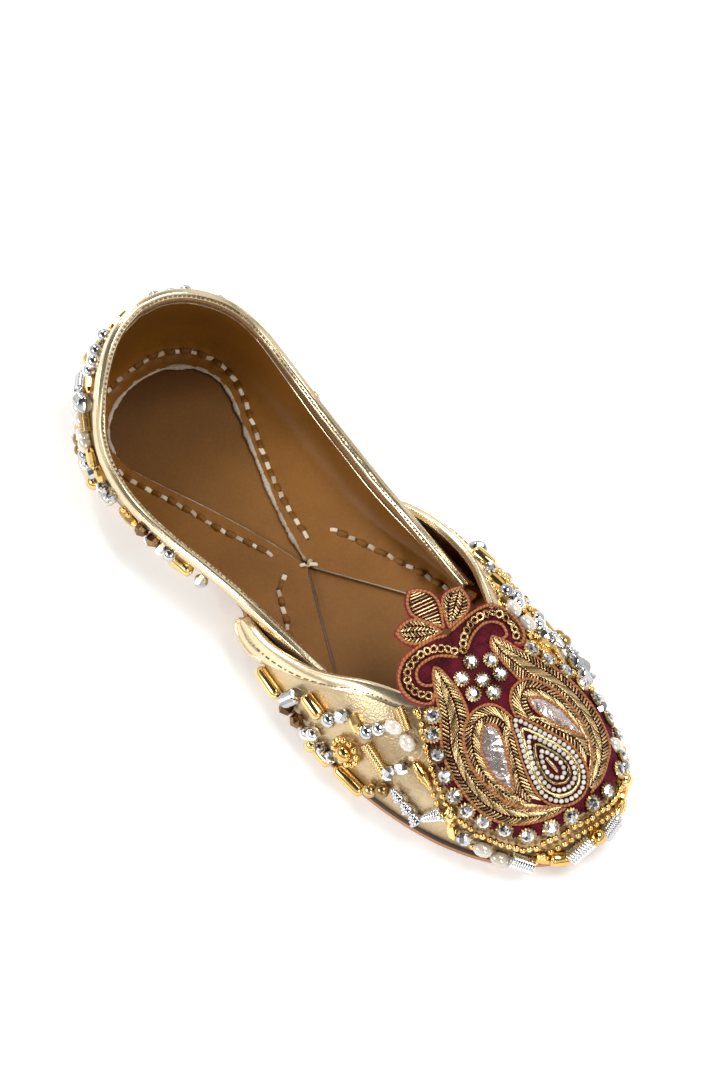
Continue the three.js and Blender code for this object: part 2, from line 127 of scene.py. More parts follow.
# %% Floor and lamps
def plain_floor():
    bpy.ops.mesh.primitive_plane_add(size=6, location=(0, 0, 0))
    floor = bpy.context.object
    floor.name = "floor"
    bpy.ops.object.mode_set(mode="EDIT")
    bpy.ops.mesh.subdivide(number_cuts=3)
    bpy.ops.object.mode_set(mode="OBJECT")
    material = bpy.data.materials.new("pale floor")
    material.use_nodes = True
    tree = material.node_tree
    shader = tree.nodes["Principled BSDF"]
    paint_tone = ramp(tree, noise(tree, 3.0), (0, (0.93, 0.93, 0.93)), (1, (0.95, 0.95, 0.95)))
    tree.links.new(paint_tone, shader.inputs["Base Color"])
    shader.inputs["Roughness"].default_value = 0.9
    shader.inputs["Emission Color"].default_value = (1, 1, 1, 1)
    shader.inputs["Emission Strength"].default_value = 0.2
    floor.data.materials.append(material)
    floor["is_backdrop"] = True

def lamp(name, place, power, size, aim=(0, 0, 0.03)):
    data = bpy.data.lights.new(name, "AREA")
    data.shape, data.size, data.size_y, data.energy = "RECTANGLE", size[0], size[1], power
    thing = bpy.data.objects.new(name, data)
    bpy.context.scene.collection.objects.link(thing)
    thing.location = place
    thing.rotation_euler = (Vector(aim) - Vector(place)).to_track_quat("-Z", "Y").to_euler()

plain_floor()
lamp("key lamp", (0.35, 0.55, 1.5), 16, (0.9, 0.7))
lamp("side lamp", (1.2, -0.5, 0.8), 4, (0.15, 0.9))
lamp("back lamp", (-1.1, 0.3, 0.9), 6, (0.15, 0.9))
lamp("front lamp", (-0.45, -1.25, 0.85), 9.5, (0.7, 0.4))
world = bpy.data.worlds.new("studio")
bpy.context.scene.world = world
world.use_nodes = True
sky = world.node_tree
direction = add(sky, "ShaderNodeTexCoord").outputs["Generated"]
height = add(sky, "ShaderNodeSeparateXYZ", Vector=direction).outputs["Z"]
SKY_BANDS = [(0.0, (0.10, 0.09, 0.08)), (0.12, (0.25, 0.24, 0.23)), (0.3, (1.0, 1.0, 1.0)),
             (0.55, (0.85, 0.85, 0.85)), (0.72, (0.12, 0.115, 0.11)), (1.0, (0.03, 0.03, 0.03))]
sky.links.new(ramp(sky, height, *SKY_BANDS), sky.nodes["Background"].inputs[0])
sky.nodes["Background"].inputs[1].default_value = 1.0
bpy.context.scene.view_settings.view_transform = "Standard"

# %% [markdown]
# ## The shape of the shoe as a chart
# The upper is a skin stretched on a last. Two numbers name a place on it, so beads and threads
# can be placed by how far round the shoe and how high up the wall they sit. The badge uses a
# flat plan instead, in millimetres, as an embroiderer marks it on the velvet.

# %% Curves through a table
def column(xs, ys, value, flat=False):
    """A smooth curve through the points of two columns. flat levels it at both ends."""
    last = len(xs) - 1
    at = min(max(value, xs[0]), xs[last])
    i = next((k for k in range(last) if at <= xs[k + 1]), last - 1)
    def slope(k):
        if flat and k in (0, last):
            return 0.0
        low, high = max(k - 1, 0), min(k + 1, last)
        return (ys[high] - ys[low]) / (xs[high] - xs[low])
    width = xs[i + 1] - xs[i]
    s = (at - xs[i]) / width
    return ((2*s**3 - 3*s**2 + 1) * ys[i] + (s**3 - 2*s**2 + s) * width * slope(i)
            + (3*s**2 - 2*s**3) * ys[i + 1] + (s**3 - s**2) * width * slope(i + 1))

def table(rows, value, flat=False):
    return column([r[0] for r in rows], [r[1] for r in rows], value, flat)

# %% Outline of the sole and the vamp
# Stations run from 0 at the back of the heel to 1 at its widest place, 2 at the ball of the
# foot and 3 at the toe. Lengths are in millimetres.
CENTRE_X, FLOOR, RAND, LAP = 0.95, 3.8, 1.2, 2.1
HEEL_X, TOE_X = -88, 38
HEEL_LENGTH, HEEL_HALF = 34.5, 33.0
HEEL_POWER, TOE_POWER = 2.15, 2.05
SECTION_POWER, UNDERCUT_HEIGHT = 2.2, 11.0
TOE_END, HEEL_END = 121.5, -120
TOE_LIFT, WAIST_LIFT, TOE_SWING, HEEL_SWING = 3.0, 1.2, 2.8, 1.8
SOLE = ([(HEEL_X, HEEL_HALF), (-60, 30.4), (-40, 29.8), (-20, 32.4), (0, 37.9), (20, 42.3),
         (38, 44.2)], 83.5, 44.2)
VAMP = ([(-26, 33.2), (-12, 37.4), (-4, 39.7), (8, 41.5), (25, 42.9), (38, 43.3)], 82.7, 43.3)
CROWN = [(-26, 47.5), (0, 48.2), (25, 48.2), (38, 47.3), (50, 44.8), (60, 42.6), (80, 40.0),
         (100, 38.5), (121, 36.0)]

def outline(shape, t, inset=0.0):
    middle, toe_length, toe_half = shape
    if t < 1:
        a, power = t * math.pi / 2, 2 / HEEL_POWER
        x = HEEL_X - (HEEL_LENGTH - inset) * math.cos(a) ** power
        return x, (HEEL_HALF - inset) * math.sin(a) ** power
    if t <= 2:
        x = HEEL_X + (t - 1) * (TOE_X - HEEL_X)
        return x, table(middle, x, True) - inset
    a, power = (3 - t) * math.pi / 2, 2 / TOE_POWER
    x = TOE_X + (toe_length - inset) * abs(math.cos(a)) ** power
    return x, (toe_half - inset) * math.sin(a) ** power

def settle(p):
    """Lifts the waist and toe and swings the toe and heel, as the last does."""
    x, y, z = p
    toe_rise = (max(x - 85, 0) / (TOE_END - 85)) ** 2
    waist_rise = max(1 - ((x + 15) / 32) ** 2, 0)
    toe_turn = (max(x - 50, 0) / (TOE_END - 50)) ** 2
    heel_turn = (max(-50 - x, 0) / (-50 - HEEL_END)) ** 2
    lift = TOE_LIFT * toe_rise + WAIST_LIFT * waist_rise
    swing = TOE_SWING * toe_turn + HEEL_SWING * heel_turn
    return np.array([x + CENTRE_X, y + swing, z + lift])

# %% Skin of the vamp
def vamp_point(t, q):
    """Place at a station and an angle up the section, 0 at the sole and a quarter turn on top."""
    mx, my = outline(VAMP, t)
    ratio = outline(SOLE, min(t, 2), RAND)[1] / outline(VAMP, min(t, 2))[1]
    plan, rise = (max(f(q), 0) ** (2 / SECTION_POWER) for f in (math.cos, math.sin))
    x = TOE_X + plan * (mx - TOE_X) if t > 2 else mx
    z = FLOOR + rise * (table(CROWN, x) - FLOOR)
    tuck = (1 - ratio) * (1 - min(max((z - FLOOR) / UNDERCUT_HEIGHT, 0), 1)) ** 2
    return np.array([TOE_X + (x - TOE_X) * (1 - tuck) if t > 2 else x, plan * my * (1 - tuck), z])

def vamp_height(x, y):
    """Height of the vamp over a place in the plan."""
    ahead = max(x - TOE_X, 0) / VAMP[1]
    width = VAMP[2] if x > TOE_X else table(VAMP[0], x, True)
    r = min((ahead ** TOE_POWER + (abs(y) / width) ** TOE_POWER) ** (1 / TOE_POWER), 1)
    return FLOOR + (1 - r ** SECTION_POWER) ** (1 / SECTION_POWER) * (table(CROWN, x) - FLOOR)

VAMP_EDGE = [(1.492, .05), (1.54, .17), (1.579, .28), (1.659, .355), (1.738, .45), (1.817, .555),
             (1.897, .675), (2.0, .815), (2.183, .885), (2.445, .948), (2.712, .969), (3.0, .975)]

def vamp_top(t):
    return math.asin(min(max(table(VAMP_EDGE, t, True), 0), 1) ** (SECTION_POWER / 2))

# %% Skin of the quarter
QUARTER_T = [0, .25, .5, .75, 1, 1.12, 1.25, 1.4, 1.537, 1.7, 1.913]
TOP_X = [-114.6, -112.2, -106.5, -98, -88, -73.5, -57, -38, -20.4, 0, 26]
TOP_HALF = [0, 11, 21.3, 30.8, 37.2, 38.5, 37.2, 34.9, 33.0, 31.9, 30.2]
TOP_Z = [62.4, 61.8, 58.4, 50.2, 37.4, 28.6, 25.2, 24.4, 23.2, 22.6, 21.8]
BULGE = [5.0, 4.8, 4.2, 3.6, 3.0, 2.6, 2.0, 1.0, .2, .2, .2]
EDGE_X = [-115.8, -114, -109, -101.5, -90.5, -75, -57.5, -38.5, -20.4, 0, 26.3]
EDGE_HALF = [0, 10, 18, 22.9, 23.4, 17.8, 11.1, 4.8, .4]
CROSSING_X, WING_SPREAD, NUDGE = -20.4, 0.585, .01

def ease(s):
    """A share of 0 to 1 with soft ends."""
    s = min(max(s, 0), 1)
    return s * s * (3 - 2 * s)

def quarter_foot(t):
    x = outline(SOLE, t, RAND)[0]
    return outline(SOLE, t, RAND + LAP * ease((x + 42) / 15))

def quarter_point(t, v):
    """Place at a station and a share v of the height of the wall."""
    f, a = quarter_foot(t), quarter_foot(t + NUDGE)
    b = (f[0], f[1] - 1) if t < NUDGE else quarter_foot(t - NUDGE)
    o = np.array([b[1] - a[1], a[0] - b[0]])
    o = o / (np.hypot(*o) or 1)
    g = column(QUARTER_T, BULGE, t) * math.sin(math.pi * v ** .75)
    tx, th = column(QUARTER_T, TOP_X, t), (column(QUARTER_T, TOP_HALF, t) if t else 0)
    y = 0 if t == 0 else f[1] + (th - f[1]) * v + o[1] * g
    z = FLOOR + (column(QUARTER_T, TOP_Z, t) - FLOOR) * v
    return np.array([f[0] + (tx - f[0]) * v + o[0] * g, y, z])

def flange_edge(t, side):
    """Inner cut edge of the quarter's sewn-in flange, in plan."""
    x = column(QUARTER_T, EDGE_X, t)
    crossed = t > QUARTER_T[8]
    half = EDGE_HALF[8] + WING_SPREAD * (x - CROSSING_X) if crossed else column(QUARTER_T[:9], EDGE_HALF, t)
    drift = -1.6 * math.exp(-((x - CROSSING_X) / 30) ** 2)
    return x, side * (half if t else 0) + drift

# %% A place on the wall, with its directions
def unit(v):
    return v / np.linalg.norm(v)

def skin(surface, a, b, side=1, away=0.0):
    """A place in metres, with its directions along the shoe, up the wall and out of it."""
    e = .004
    def at(i, j):
        p = surface(i, j)
        return settle((p[0], side * p[1], p[2]))
    along = at(min(a + e, 2.9999), b) - at(max(a - e, .0001), b)
    rise = at(a, b + e) - at(a, b - e)
    out = unit(np.cross(rise, along)) * side
    along = unit(along)
    rise = unit(np.cross(out, along))
    rise = rise if rise[2] > 0 else -rise
    return (at(a, b) + out * away) * MM, along, rise, out

def on_vamp(side, t, z, away=0.0):
    x = outline(VAMP, t)[0]
    for _ in range(4):
        share = min(max((z - FLOOR) / (table(CROWN, x) - FLOOR), 0), 1)
        q = math.asin(share ** (SECTION_POWER / 2))
        x = vamp_point(t, q)[0]
    return skin(vamp_point, t, min(q, 1.55), side, away)

def on_quarter(side, t, z, away=0.0):
    v = (z - FLOOR) / (column(QUARTER_T, TOP_Z, t) - FLOOR)
    return skin(quarter_point, max(t, .01), min(max(v, .01), .99), side, away)

print("toe tip:", on_vamp(1, 2.999, 10)[0].round(4), "frame:", round(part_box("upper_vamp")[1].x, 4))
print("heel:", on_quarter(1, 0.01, 30)[0].round(4), "frame:", round(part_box("upper_quarter")[0].x, 4))

# %% A place on the badge
MOUTH_X, MOUTH_LENGTH, MOUTH_HALF = -13, 73, 38
BADGE_GAP, OVER_BINDING, BADGE_WALL = 0.7, 1.3, 1.6

def badge_raise(x, y):
    """The badge lies close on the vamp, and stands higher where it covers the binding."""
    past_mouth = math.hypot((x - MOUTH_X) / MOUTH_LENGTH, y / MOUTH_HALF) - 1
    return BADGE_GAP + OVER_BINDING * (1 - ease((past_mouth - .12) / .18)) + BADGE_WALL

def on_badge(x, y, above=0.0):
    def at(i, j):
        return settle((i, j, vamp_height(i, j)))
    near = .3
    out = unit(np.cross(at(x + near, y) - at(x - near, y), at(x, y + near) - at(x, y - near)))
    return (at(x, y) + out * (badge_raise(x, y) + above)) * MM, out

highest = max(on_badge(x, 0)[0][2] for x in range(26, 112, 2))

# %% [markdown]
# ## Finishes
# Leather, cord and metal share a few effects: a pebbled grain, slow changes of tone and the
# twist of a thread. Each effect is a node group, so a maker changes it once for every finish.

# %% Node groups
def new_group(name, inputs, outputs):
    group = bpy.data.node_groups.new(name, "ShaderNodeTree")
    for label, kind, value in inputs:
        socket = group.interface.new_socket(label, in_out="INPUT", socket_type=kind)
        socket.default_value = value
    for label, kind in outputs:
        group.interface.new_socket(label, in_out="OUTPUT", socket_type=kind)
    return group, group.nodes.new("NodeGroupInput"), group.nodes.new("NodeGroupOutput")

def leather_grain():
    group, given, made = new_group(
        "leather grain",
        [("Size", "NodeSocketFloat", 900.0), ("Crease", "NodeSocketFloat", 0.4)],
        [("Height", "NodeSocketFloat"), ("Tone", "NodeSocketFloat")])
    cells = add(group, "ShaderNodeTexVoronoi", {"feature": "SMOOTH_F1"},
                Vector=object_place(group), Scale=given.outputs["Size"])
    pores = cells.outputs["Distance"]
    folds = noise(group, 210.0, 5.0, Distortion=1.2)
    mix = add(group, "ShaderNodeMix", i0=given.outputs["Crease"], i2=pores, i3=folds)
    group.links.new(mix.outputs[0], made.inputs["Height"])
    group.links.new(maths(group, "MULTIPLY_ADD", pores, 0.25, noise(group, 38.0, 4.0)), made.inputs["Tone"])
    return group

def thread_twist():
    """A wave that winds round a swept line, from the line's own texture map."""
    group, given, made = new_group("thread twist", [("Turns", "NodeSocketFloat", 1.0)],
                                   [("Height", "NodeSocketFloat")])
    place = add(group, "ShaderNodeUVMap", {"uv_map": "lay"}).outputs[0]
    split = add(group, "ShaderNodeSeparateXYZ", Vector=place)
    run = maths(group, "MULTIPLY", split.outputs[0], given.outputs["Turns"])
    turn = maths(group, "ADD", run, split.outputs[1])
    wave = maths(group, "SINE", maths(group, "MULTIPLY", turn, 2 * math.pi))
    group.links.new(maths(group, "MULTIPLY_ADD", wave, 0.5, 0.5), made.inputs["Height"])
    return group

GRAIN, TWIST = leather_grain(), thread_twist()
print("effects:", GRAIN.name, "and", TWIST.name)

# %% Leather finish
def start(name, metallic, roughness, **sockets):
    material = bpy.data.materials.new(name)
    material.use_nodes = True
    shader = material.node_tree.nodes["Principled BSDF"]
    for key, value in {"Metallic": metallic, "Roughness": roughness, **sockets}.items():
        shader.inputs[key.replace("_", " ")].default_value = value
    return material, material.node_tree, shader

def colour(tree, shader, source):
    tree.links.new(source, shader.inputs["Base Color"])

def bump(tree, shader, height, strength, depth):
    node = add(tree, "ShaderNodeBump", Height=height, Strength=strength, Distance=depth * MM)
    tree.links.new(node.outputs[0], shader.inputs["Normal"])

def leather(name, dark, light, metallic, roughness, size, crease, depth):
    material, tree, shader = start(name, metallic, roughness)
    grain = add(tree, "ShaderNodeGroup", {"node_tree": GRAIN}, Size=size, Crease=crease)
    colour(tree, shader, ramp(tree, grain.outputs["Tone"], (0.35, dark), (0.75, light)))
    bump(tree, shader, grain.outputs["Height"], 0.7, depth)
    return material

gold_leather = leather("gold leather", (0.42, 0.30, 0.155), (0.66, 0.51, 0.31),
                       0.80, 0.33, 1500, 0.22, 0.2)
binding_leather = leather("rolled gold edge", (0.70, 0.55, 0.33), (0.86, 0.71, 0.47),
                          0.92, 0.23, 1500, 0.15, 0.035)
edge_leather = leather("raw cut edge", (0.16, 0.12, 0.08), (0.52, 0.44, 0.34), 0, 0.85, 1600, 0.5, 0.2)
sole_leather = leather("sole leather", (0.34, 0.15, 0.06), (0.52, 0.27, 0.14), 0, 0.6, 1500, 0.6, 0.12)
# Near-black finish for the sole's top face: painted shade of the gap between the upper and the sole.
sole_rim_shade_leather = leather("sole rim painted shade", (0.035, 0.016, 0.008), (0.09, 0.045, 0.02),
                       0, 0.6, 1500, 0.6, 0.12)

# %% Lining leather, darker towards the heel
def lining(name, heel, toe, reach=(-0.11, 0.03)):
    """Tan leather whose colour runs from the heel's to the toe's over a reach in metres."""
    material, tree, shader = start(name, 0.0, 0.5, Specular_IOR_Level=0.22)
    grain = add(tree, "ShaderNodeGroup", {"node_tree": GRAIN}, Size=1100.0, Crease=0.5)
    along = add(tree, "ShaderNodeSeparateXYZ", Vector=object_place(tree)).outputs["X"]
    share = add(tree, "ShaderNodeMapRange", Value=along, From_Min=reach[0], From_Max=reach[1]).outputs[0]
    base = ramp(tree, share, (0, heel), (1, toe))
    shade = ramp(tree, grain.outputs["Tone"], (0.35, (0.78, 0.76, 0.72)), (0.78, (1.06, 1.05, 1.02)))
    product = {"data_type": "RGBA", "blend_type": "MULTIPLY"}
    colour(tree, shader, add(tree, "ShaderNodeMix", product, i0=1.0, i6=base, i7=shade).outputs[2])
    bump(tree, shader, grain.outputs["Height"], 0.8, 0.13)
    return material

insole_leather = lining("insole leather", (0.068, 0.026, 0.004), (0.240, 0.104, 0.022),
                        (-0.122, -0.045))
lining_leather = lining("lining leather", (0.200, 0.078, 0.006), (0.235, 0.098, 0.018),
                        (-0.12, -0.03))
# The vamp's lining is lighter than the quarter's: painted light inside the vamp, where little lamp light
# reaches.
vamp_lining_painted_light = lining("vamp lining with painted light", (0.42, 0.16, 0.06), (0.36, 0.12, 0.045))
print("leathers:", [m.name for m in bpy.data.materials])

# %% [markdown]
# ## The leather parts
# Each leather part begins as a copy of its measured shape. Its loose triangles are merged into
# quads, the crisp edges are held by creases, and a subdivision gives a skin fine enough to
# carry dimples. Copying keeps every part exactly where the frame has it.

# %% Copy of a measured part
def finish_piece(piece, slot, *replaced):
    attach(piece, "root")
    if replaced:
        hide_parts(*replaced)
    print(piece.name, len(piece.data.polygons), "faces")
    return piece

def pick(piece):
    bpy.ops.object.select_all(action="DESELECT")
    piece.select_set(True)
    bpy.context.view_layer.objects.active = piece

TOUCHING, CRISP = 0.002 * MM, 32

def copy_of(node, name):
    """A smooth copy of a frame node that keeps the edges sharper than CRISP degrees."""
    piece = bpy.data.objects.new(name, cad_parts[node].data.copy())
    bpy.context.scene.collection.objects.link(piece)
    piece.data.materials.clear()
    pick(piece)
    bpy.ops.object.mode_set(mode="EDIT")
    bpy.ops.mesh.select_all(action="SELECT")
    bpy.ops.mesh.remove_doubles(threshold=TOUCHING)
    bpy.ops.mesh.tris_convert_to_quads(face_threshold=math.radians(30), shape_threshold=math.radians(50))
    bpy.ops.mesh.select_all(action="DESELECT")
    bpy.ops.mesh.select_mode(type="EDGE")
    bpy.ops.mesh.edges_select_sharp(sharpness=math.radians(CRISP))
    bpy.ops.transform.edge_crease(value=1)
    bpy.ops.object.mode_set(mode="OBJECT")
    smooth = piece.modifiers.new("smooth", "SUBSURF")
    smooth.levels = smooth.render_levels = 2
    bpy.ops.object.modifier_apply(modifier="smooth")
    bpy.ops.object.shade_smooth_by_angle(angle=math.radians(40))
    return piece

# %% Reading and painting a mesh
def corners(piece):
    co = np.empty(len(piece.data.vertices) * 3)
    piece.data.vertices.foreach_get("co", co)
    return co.reshape(-1, 3)

def vertex_normals(piece):
    look = np.empty(len(piece.data.vertices) * 3)
    piece.data.vertices.foreach_get("normal", look)
    return look.reshape(-1, 3)

def face_array(piece, what):
    values = np.empty(len(piece.data.polygons) * 3)
    piece.data.polygons.foreach_get(what, values)
    return values.reshape(-1, 3)

def paint(piece, materials, choice):
    for material in materials:
        piece.data.materials.append(material)
    piece.data.polygons.foreach_set("material_index", np.int32(choice))
    piece.data.update()

def faces_out(piece):
    """How far each face looks away from the middle line of the shoe."""
    centre, look = face_array(piece, "center"), face_array(piece, "normal")
    middle = centre * 0
    middle[:, 0] = np.clip(centre[:, 0], HEEL_X * MM, 0.045)
    away = (centre - middle)[:, :2]
    away /= np.linalg.norm(away, axis=1)[:, None] + 1e-9
    return centre, look, (away * look[:, :2]).sum(1)

# %% Sole and insole
outsole = copy_of("outsole", "sole")
centre, look, out = faces_out(outsole)
# Upward-facing faces of the sole get the painted shade of the gap under the upper.
paint(outsole, [sole_leather, sole_rim_shade_leather], (look[:, 2] > 0.5))
finish_piece(outsole, "sole_leather", "outsole")
insole = copy_of("insole", "insole_sock")
paint(insole, [insole_leather], np.zeros(len(insole.data.polygons)))
finish_piece(insole, "insole_leather", "insole")

# %% Quarter and vamp, gold outside and tan inside
quarter = copy_of("upper_quarter", "quarter_leather")
centre, look, out = faces_out(quarter)
paint(quarter, [lining_leather, gold_leather], (out > 0.12) & (look[:, 2] < 0.8))
vamp = copy_of("upper_vamp", "vamp_leather")
centre, look, out = faces_out(vamp)
outward = (look[:, 2] > 0.15) | (out > 0.25)
paint(vamp, [vamp_lining_painted_light, gold_leather], outward)
finish_piece(quarter, "gold_leather", "upper_quarter")
finish_piece(vamp, "gold_leather", "upper_vamp")

# %% Rolled bindings
rolls = {}
for node, name in (("vamp_binding", "vamp_edge_roll"), ("quarter_binding", "quarter_edge_roll")):
    roll = copy_of(node, name)
    paint(roll, [binding_leather], np.zeros(len(roll.data.polygons)))
    finish_piece(roll, "binding_leather", node)
    rolls[node] = roll

# %% [markdown]
# ## Seams in the rolled edge
# A strip of foil leather is sewn face down along the top line, then rolled over it. The sewing
# pulls a narrow valley into the strip, and its small dark stitches sit in that valley. The
# valley is found by looking at the roll from a set angle, then pressed into the mesh.

# %% Press a valley and note its stitches
def tree_of(*things):
    """A search tree of several pieces, for looking at them along a line."""
    verts, faces = [], []
    for thing in things:
        first = len(verts)
        verts += [v.co for v in thing.data.vertices]
        faces += [[first + i for i in p.vertices] for p in thing.data.polygons]
    return BVHTree.FromPolygons(verts, faces)

HALF_WALL = 0.75

def seam_line(roll, surface, top_of, stations, side, angle, drop=0.0):
    """Where the roll is met when looked at from an angle, 0 straight above and 90 from inside."""
    tree, met = tree_of(roll), []
    for t in stations:
        edge, _, rise, out = skin(surface, t, top_of(t), side)
        centre = edge - (out * HALF_WALL + rise * drop) * MM
        look = rise * math.cos(math.radians(angle)) - out * math.sin(math.radians(angle))
        hit = tree.ray_cast(Vector(centre + look * 8 * MM), Vector(-look))
        if hit[0]:
            met.append((np.array(hit[0]), np.array(hit[1])))
    return met

def press(roll, met, depth, width):
    """Presses a valley along a line. A depth below 0 raises a ridge instead."""
    co, line = corners(roll), np.array([p for p, _ in met])
    gap = np.linalg.norm(co[:, None] - line[None], axis=2).min(1) / MM
    amount = depth * MM * np.exp(-(gap / width) ** 2)
    roll.data.vertices.foreach_set("co", (co - vertex_normals(roll) * amount[:, None]).ravel())
    roll.data.update()

COLLAR, THROAT = np.arange(0.02, 1.9, 0.006), np.arange(1.56, 2.95, 0.008)
seams = []
for side in (1, -1):
    for name, surface, top_of, stations, angle, drop, depth, width, sewn in (
            ("quarter_binding", quarter_point, lambda t: 1.0, COLLAR, 42, 0, 0.55, 0.42, True),
            ("quarter_binding", quarter_point, lambda t: 1.0, COLLAR, 88, 0.6, -0.3, 0.8, False),
            ("vamp_binding", vamp_point, vamp_top, THROAT, -90, 2.6, 0.35, 0.5, True)):
        met = seam_line(rolls[name], surface, top_of, stations, side, angle, drop)
        press(rolls[name], met, depth, width)
        if sewn:
            seams.append(met)
print("seams:", [len(met) for met in seams], "places each")

# %% [markdown]
# ## Hand stitching
# The flange of the quarter is tied down by a flat cream thread that dips through the leather
# and comes up again. Each dip pulls a hollow and the leather swells between two dips, so the
# skin is moved up and down along the row first, and the threads are laid in the hollows.

# %% Smooth paths
STEP = 0.5

def trace(points, step=STEP, closed=False):
    """A smooth, evenly stepped line through points, in any number of dimensions."""
    p = np.array(points, float)
    p = np.vstack([p[-1], p, p[:2]]) if closed else np.vstack([2 * p[0] - p[1], p, 2 * p[-1] - p[-2]])
    s = np.linspace(0, 1, 12, endpoint=False)[:, None]
    line = [0.5 * (2*b + (c-a)*s + (2*a-5*b+4*c-d)*s**2 + (3*b-a-3*c+d)*s**3)
            for a, b, c, d in zip(p, p[1:], p[2:], p[3:])]
    line = np.vstack(line + [p[-2]])
    run = np.r_[0, np.cumsum(np.linalg.norm(np.diff(line, axis=0), axis=1))]
    count = max(int(round(run[-1] / step)), 2)
    at = np.linspace(0, run[-1], count + 1)
    return np.stack([np.interp(at, run, line[:, k]) for k in range(line.shape[1])], 1)

def sideways(path):
    """Unit vectors to the left of a flat path."""
    d = np.gradient(path, axis=0)
    return np.stack([-d[:, 1], d[:, 0]], 1) / (np.linalg.norm(d, axis=1)[:, None] + 1e-9)

# %% Swells and hollows along a stitch row
# Each row holds its line, its pitch, how far the leather swells and how wide a swell is.
STITCH_ROWS = {
    "heel_far": ([(-119.6, 2), (-118.6, 12), (-113, 21.5), (-104.5, 26.6), (-94, 27.6), (-83, 24.4),
                  (-74.4, 20.6), (-59, 14.0), (-44, 8.9), (-29.5, 5.6)], 6.1, 0.4, 1.9),
    "heel_near": ([(-119.5, -4), (-118, -13), (-112, -22), (-102, -27), (-88.6, -26), (-73.3, -20.8),
                   (-60, -16.6), (-52.9, -14.9), (-38.2, -9.9), (-27.5, -6.6)], 6.1, 0.4, 1.9),
    "wing_far": ([(-25, 14.2), (-4.9, 21.6), (6, 25.2), (18, 28.6), (24, 29.4)], 7.4, 0.6, 3.0),
    "wing_near": ([(-22.5, -10.6), (-19.5, -15.4), (-10, -20.8), (-2, -25.7), (4, -28.8)], 6.6, 0.6, 3.0),
}

def pucker(piece, path, pitch, lift, reach):
    """Moves the upward-facing skin near a path up and down, once for each stitch."""
    co, look = corners(piece), vertex_normals(piece)
    line = np.array([settle((x, y, 8))[:2] for x, y in path]) * MM
    gap = np.linalg.norm(co[:, None, :2] - line[None, ::2], axis=2)
    near, away = gap.argmin(1) * 2, gap.min(1) / MM
    run = near * np.linalg.norm(line[1] - line[0]) / MM
    wave = -np.cos(2 * np.pi * run / pitch) - 0.35
    inside = (look[:, 2] > 0.12) & (co[:, 2] < 0.022) & (co[:, 2] > 0.0068)
    amount = lift * wave * np.exp(-(away / reach) ** 2) * inside * MM
    piece.data.vertices.foreach_set("co", (co + look * amount[:, None]).ravel())
    piece.data.update()

rows = {}
for name, (points, pitch, lift, reach) in STITCH_ROWS.items():
    rows[name] = trace(points)
    pucker(quarter, rows[name], pitch, lift, reach)
print("stitch rows:", {name: f"{len(path) * STEP:.0f} mm" for name, path in rows.items()})

# %% Where a thing laid inside the shoe comes to rest
inside = tree_of(quarter, insole)

def rest_on(x, y, high=9.0, lean=0.35):
    """Place and facing of the lining met on a line from above the middle of the shoe."""
    target = Vector(settle((x, y, high))) * MM
    origin = Vector((target.x * 0.8, target.y * lean, 0.045))
    place, facing, _, _ = inside.ray_cast(origin, (target - origin).normalized())
    return np.array(place), np.array(facing)

# %% Copies of one model, joined
def place(point, along, out, stretch=(1, 1, 1), turn=0.0):
    """A matrix that lays a model with its x along one way and its z facing out."""
    out = unit(np.array(out))
    side = unit(np.cross(out, along))
    along = np.cross(side, out)
    c, s = math.cos(turn), math.sin(turn)
    along, side = along * c + side * s, side * c - along * s
    made = np.eye(4)
    made[:3, :4] = np.stack([along * stretch[0], side * stretch[1], out * stretch[2], point], 1)
    return made

def read(items, key, kind):
    values = np.empty(len(items), kind)
    items.foreach_get(key, values)
    return values

def finish_new(piece, note):
    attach(piece, "root")
    print(piece.name, note, len(piece.data.polygons), "faces")

def spread(name, model, places, material, tones=None):
    """Joins one copy of the model for each place into one piece, then removes the model."""
    source, co, count = model.data, corners(model), len(places)
    loops = read(source.loops, "vertex_index", np.int32)
    totals = read(source.polygons, "loop_total", np.int32)
    flags = read(source.polygons, "use_smooth", bool)
    m = np.array(places)
    co = np.einsum("nij,vj->nvi", m[:, :3, :3], co) + m[:, None, :3, 3]
    mesh = bpy.data.meshes.new(name)
    mesh.vertices.add(co.shape[0] * co.shape[1])
    mesh.vertices.foreach_set("co", co.ravel())
    mesh.loops.add(len(loops) * count)
    corner = loops[None] + np.arange(count)[:, None] * co.shape[1]
    mesh.loops.foreach_set("vertex_index", corner.ravel().astype(np.int32))
    mesh.polygons.add(len(totals) * count)
    ends = np.tile(totals, count).cumsum()
    mesh.polygons.foreach_set("loop_start", (ends - np.tile(totals, count)).astype(np.int32))
    mesh.polygons.foreach_set("use_smooth", np.tile(flags, count))
    mesh.update(calc_edges=True)
    mesh.validate()
    tone = mesh.attributes.new("tone", "FLOAT", "POINT")
    luck = np.random.default_rng(len(name) * 7 + count)
    tones = luck.random(count) if tones is None else np.array(tones, float)
    tone.data.foreach_set("value", np.repeat(tones, co.shape[1]).astype(np.float32))
    piece = bpy.data.objects.new(name, mesh)
    bpy.context.scene.collection.objects.link(piece)
    mesh.materials.append(material)
    bpy.data.objects.remove(model)
    finish_new(piece, f"{count} copies,")

# %% [markdown]
# The thread is a flat cotton one, waxed so that it lies still. Only its long dips show, so a
# stitch is a short bevelled bar, arched and narrowed at its ends, and copied along the rows.

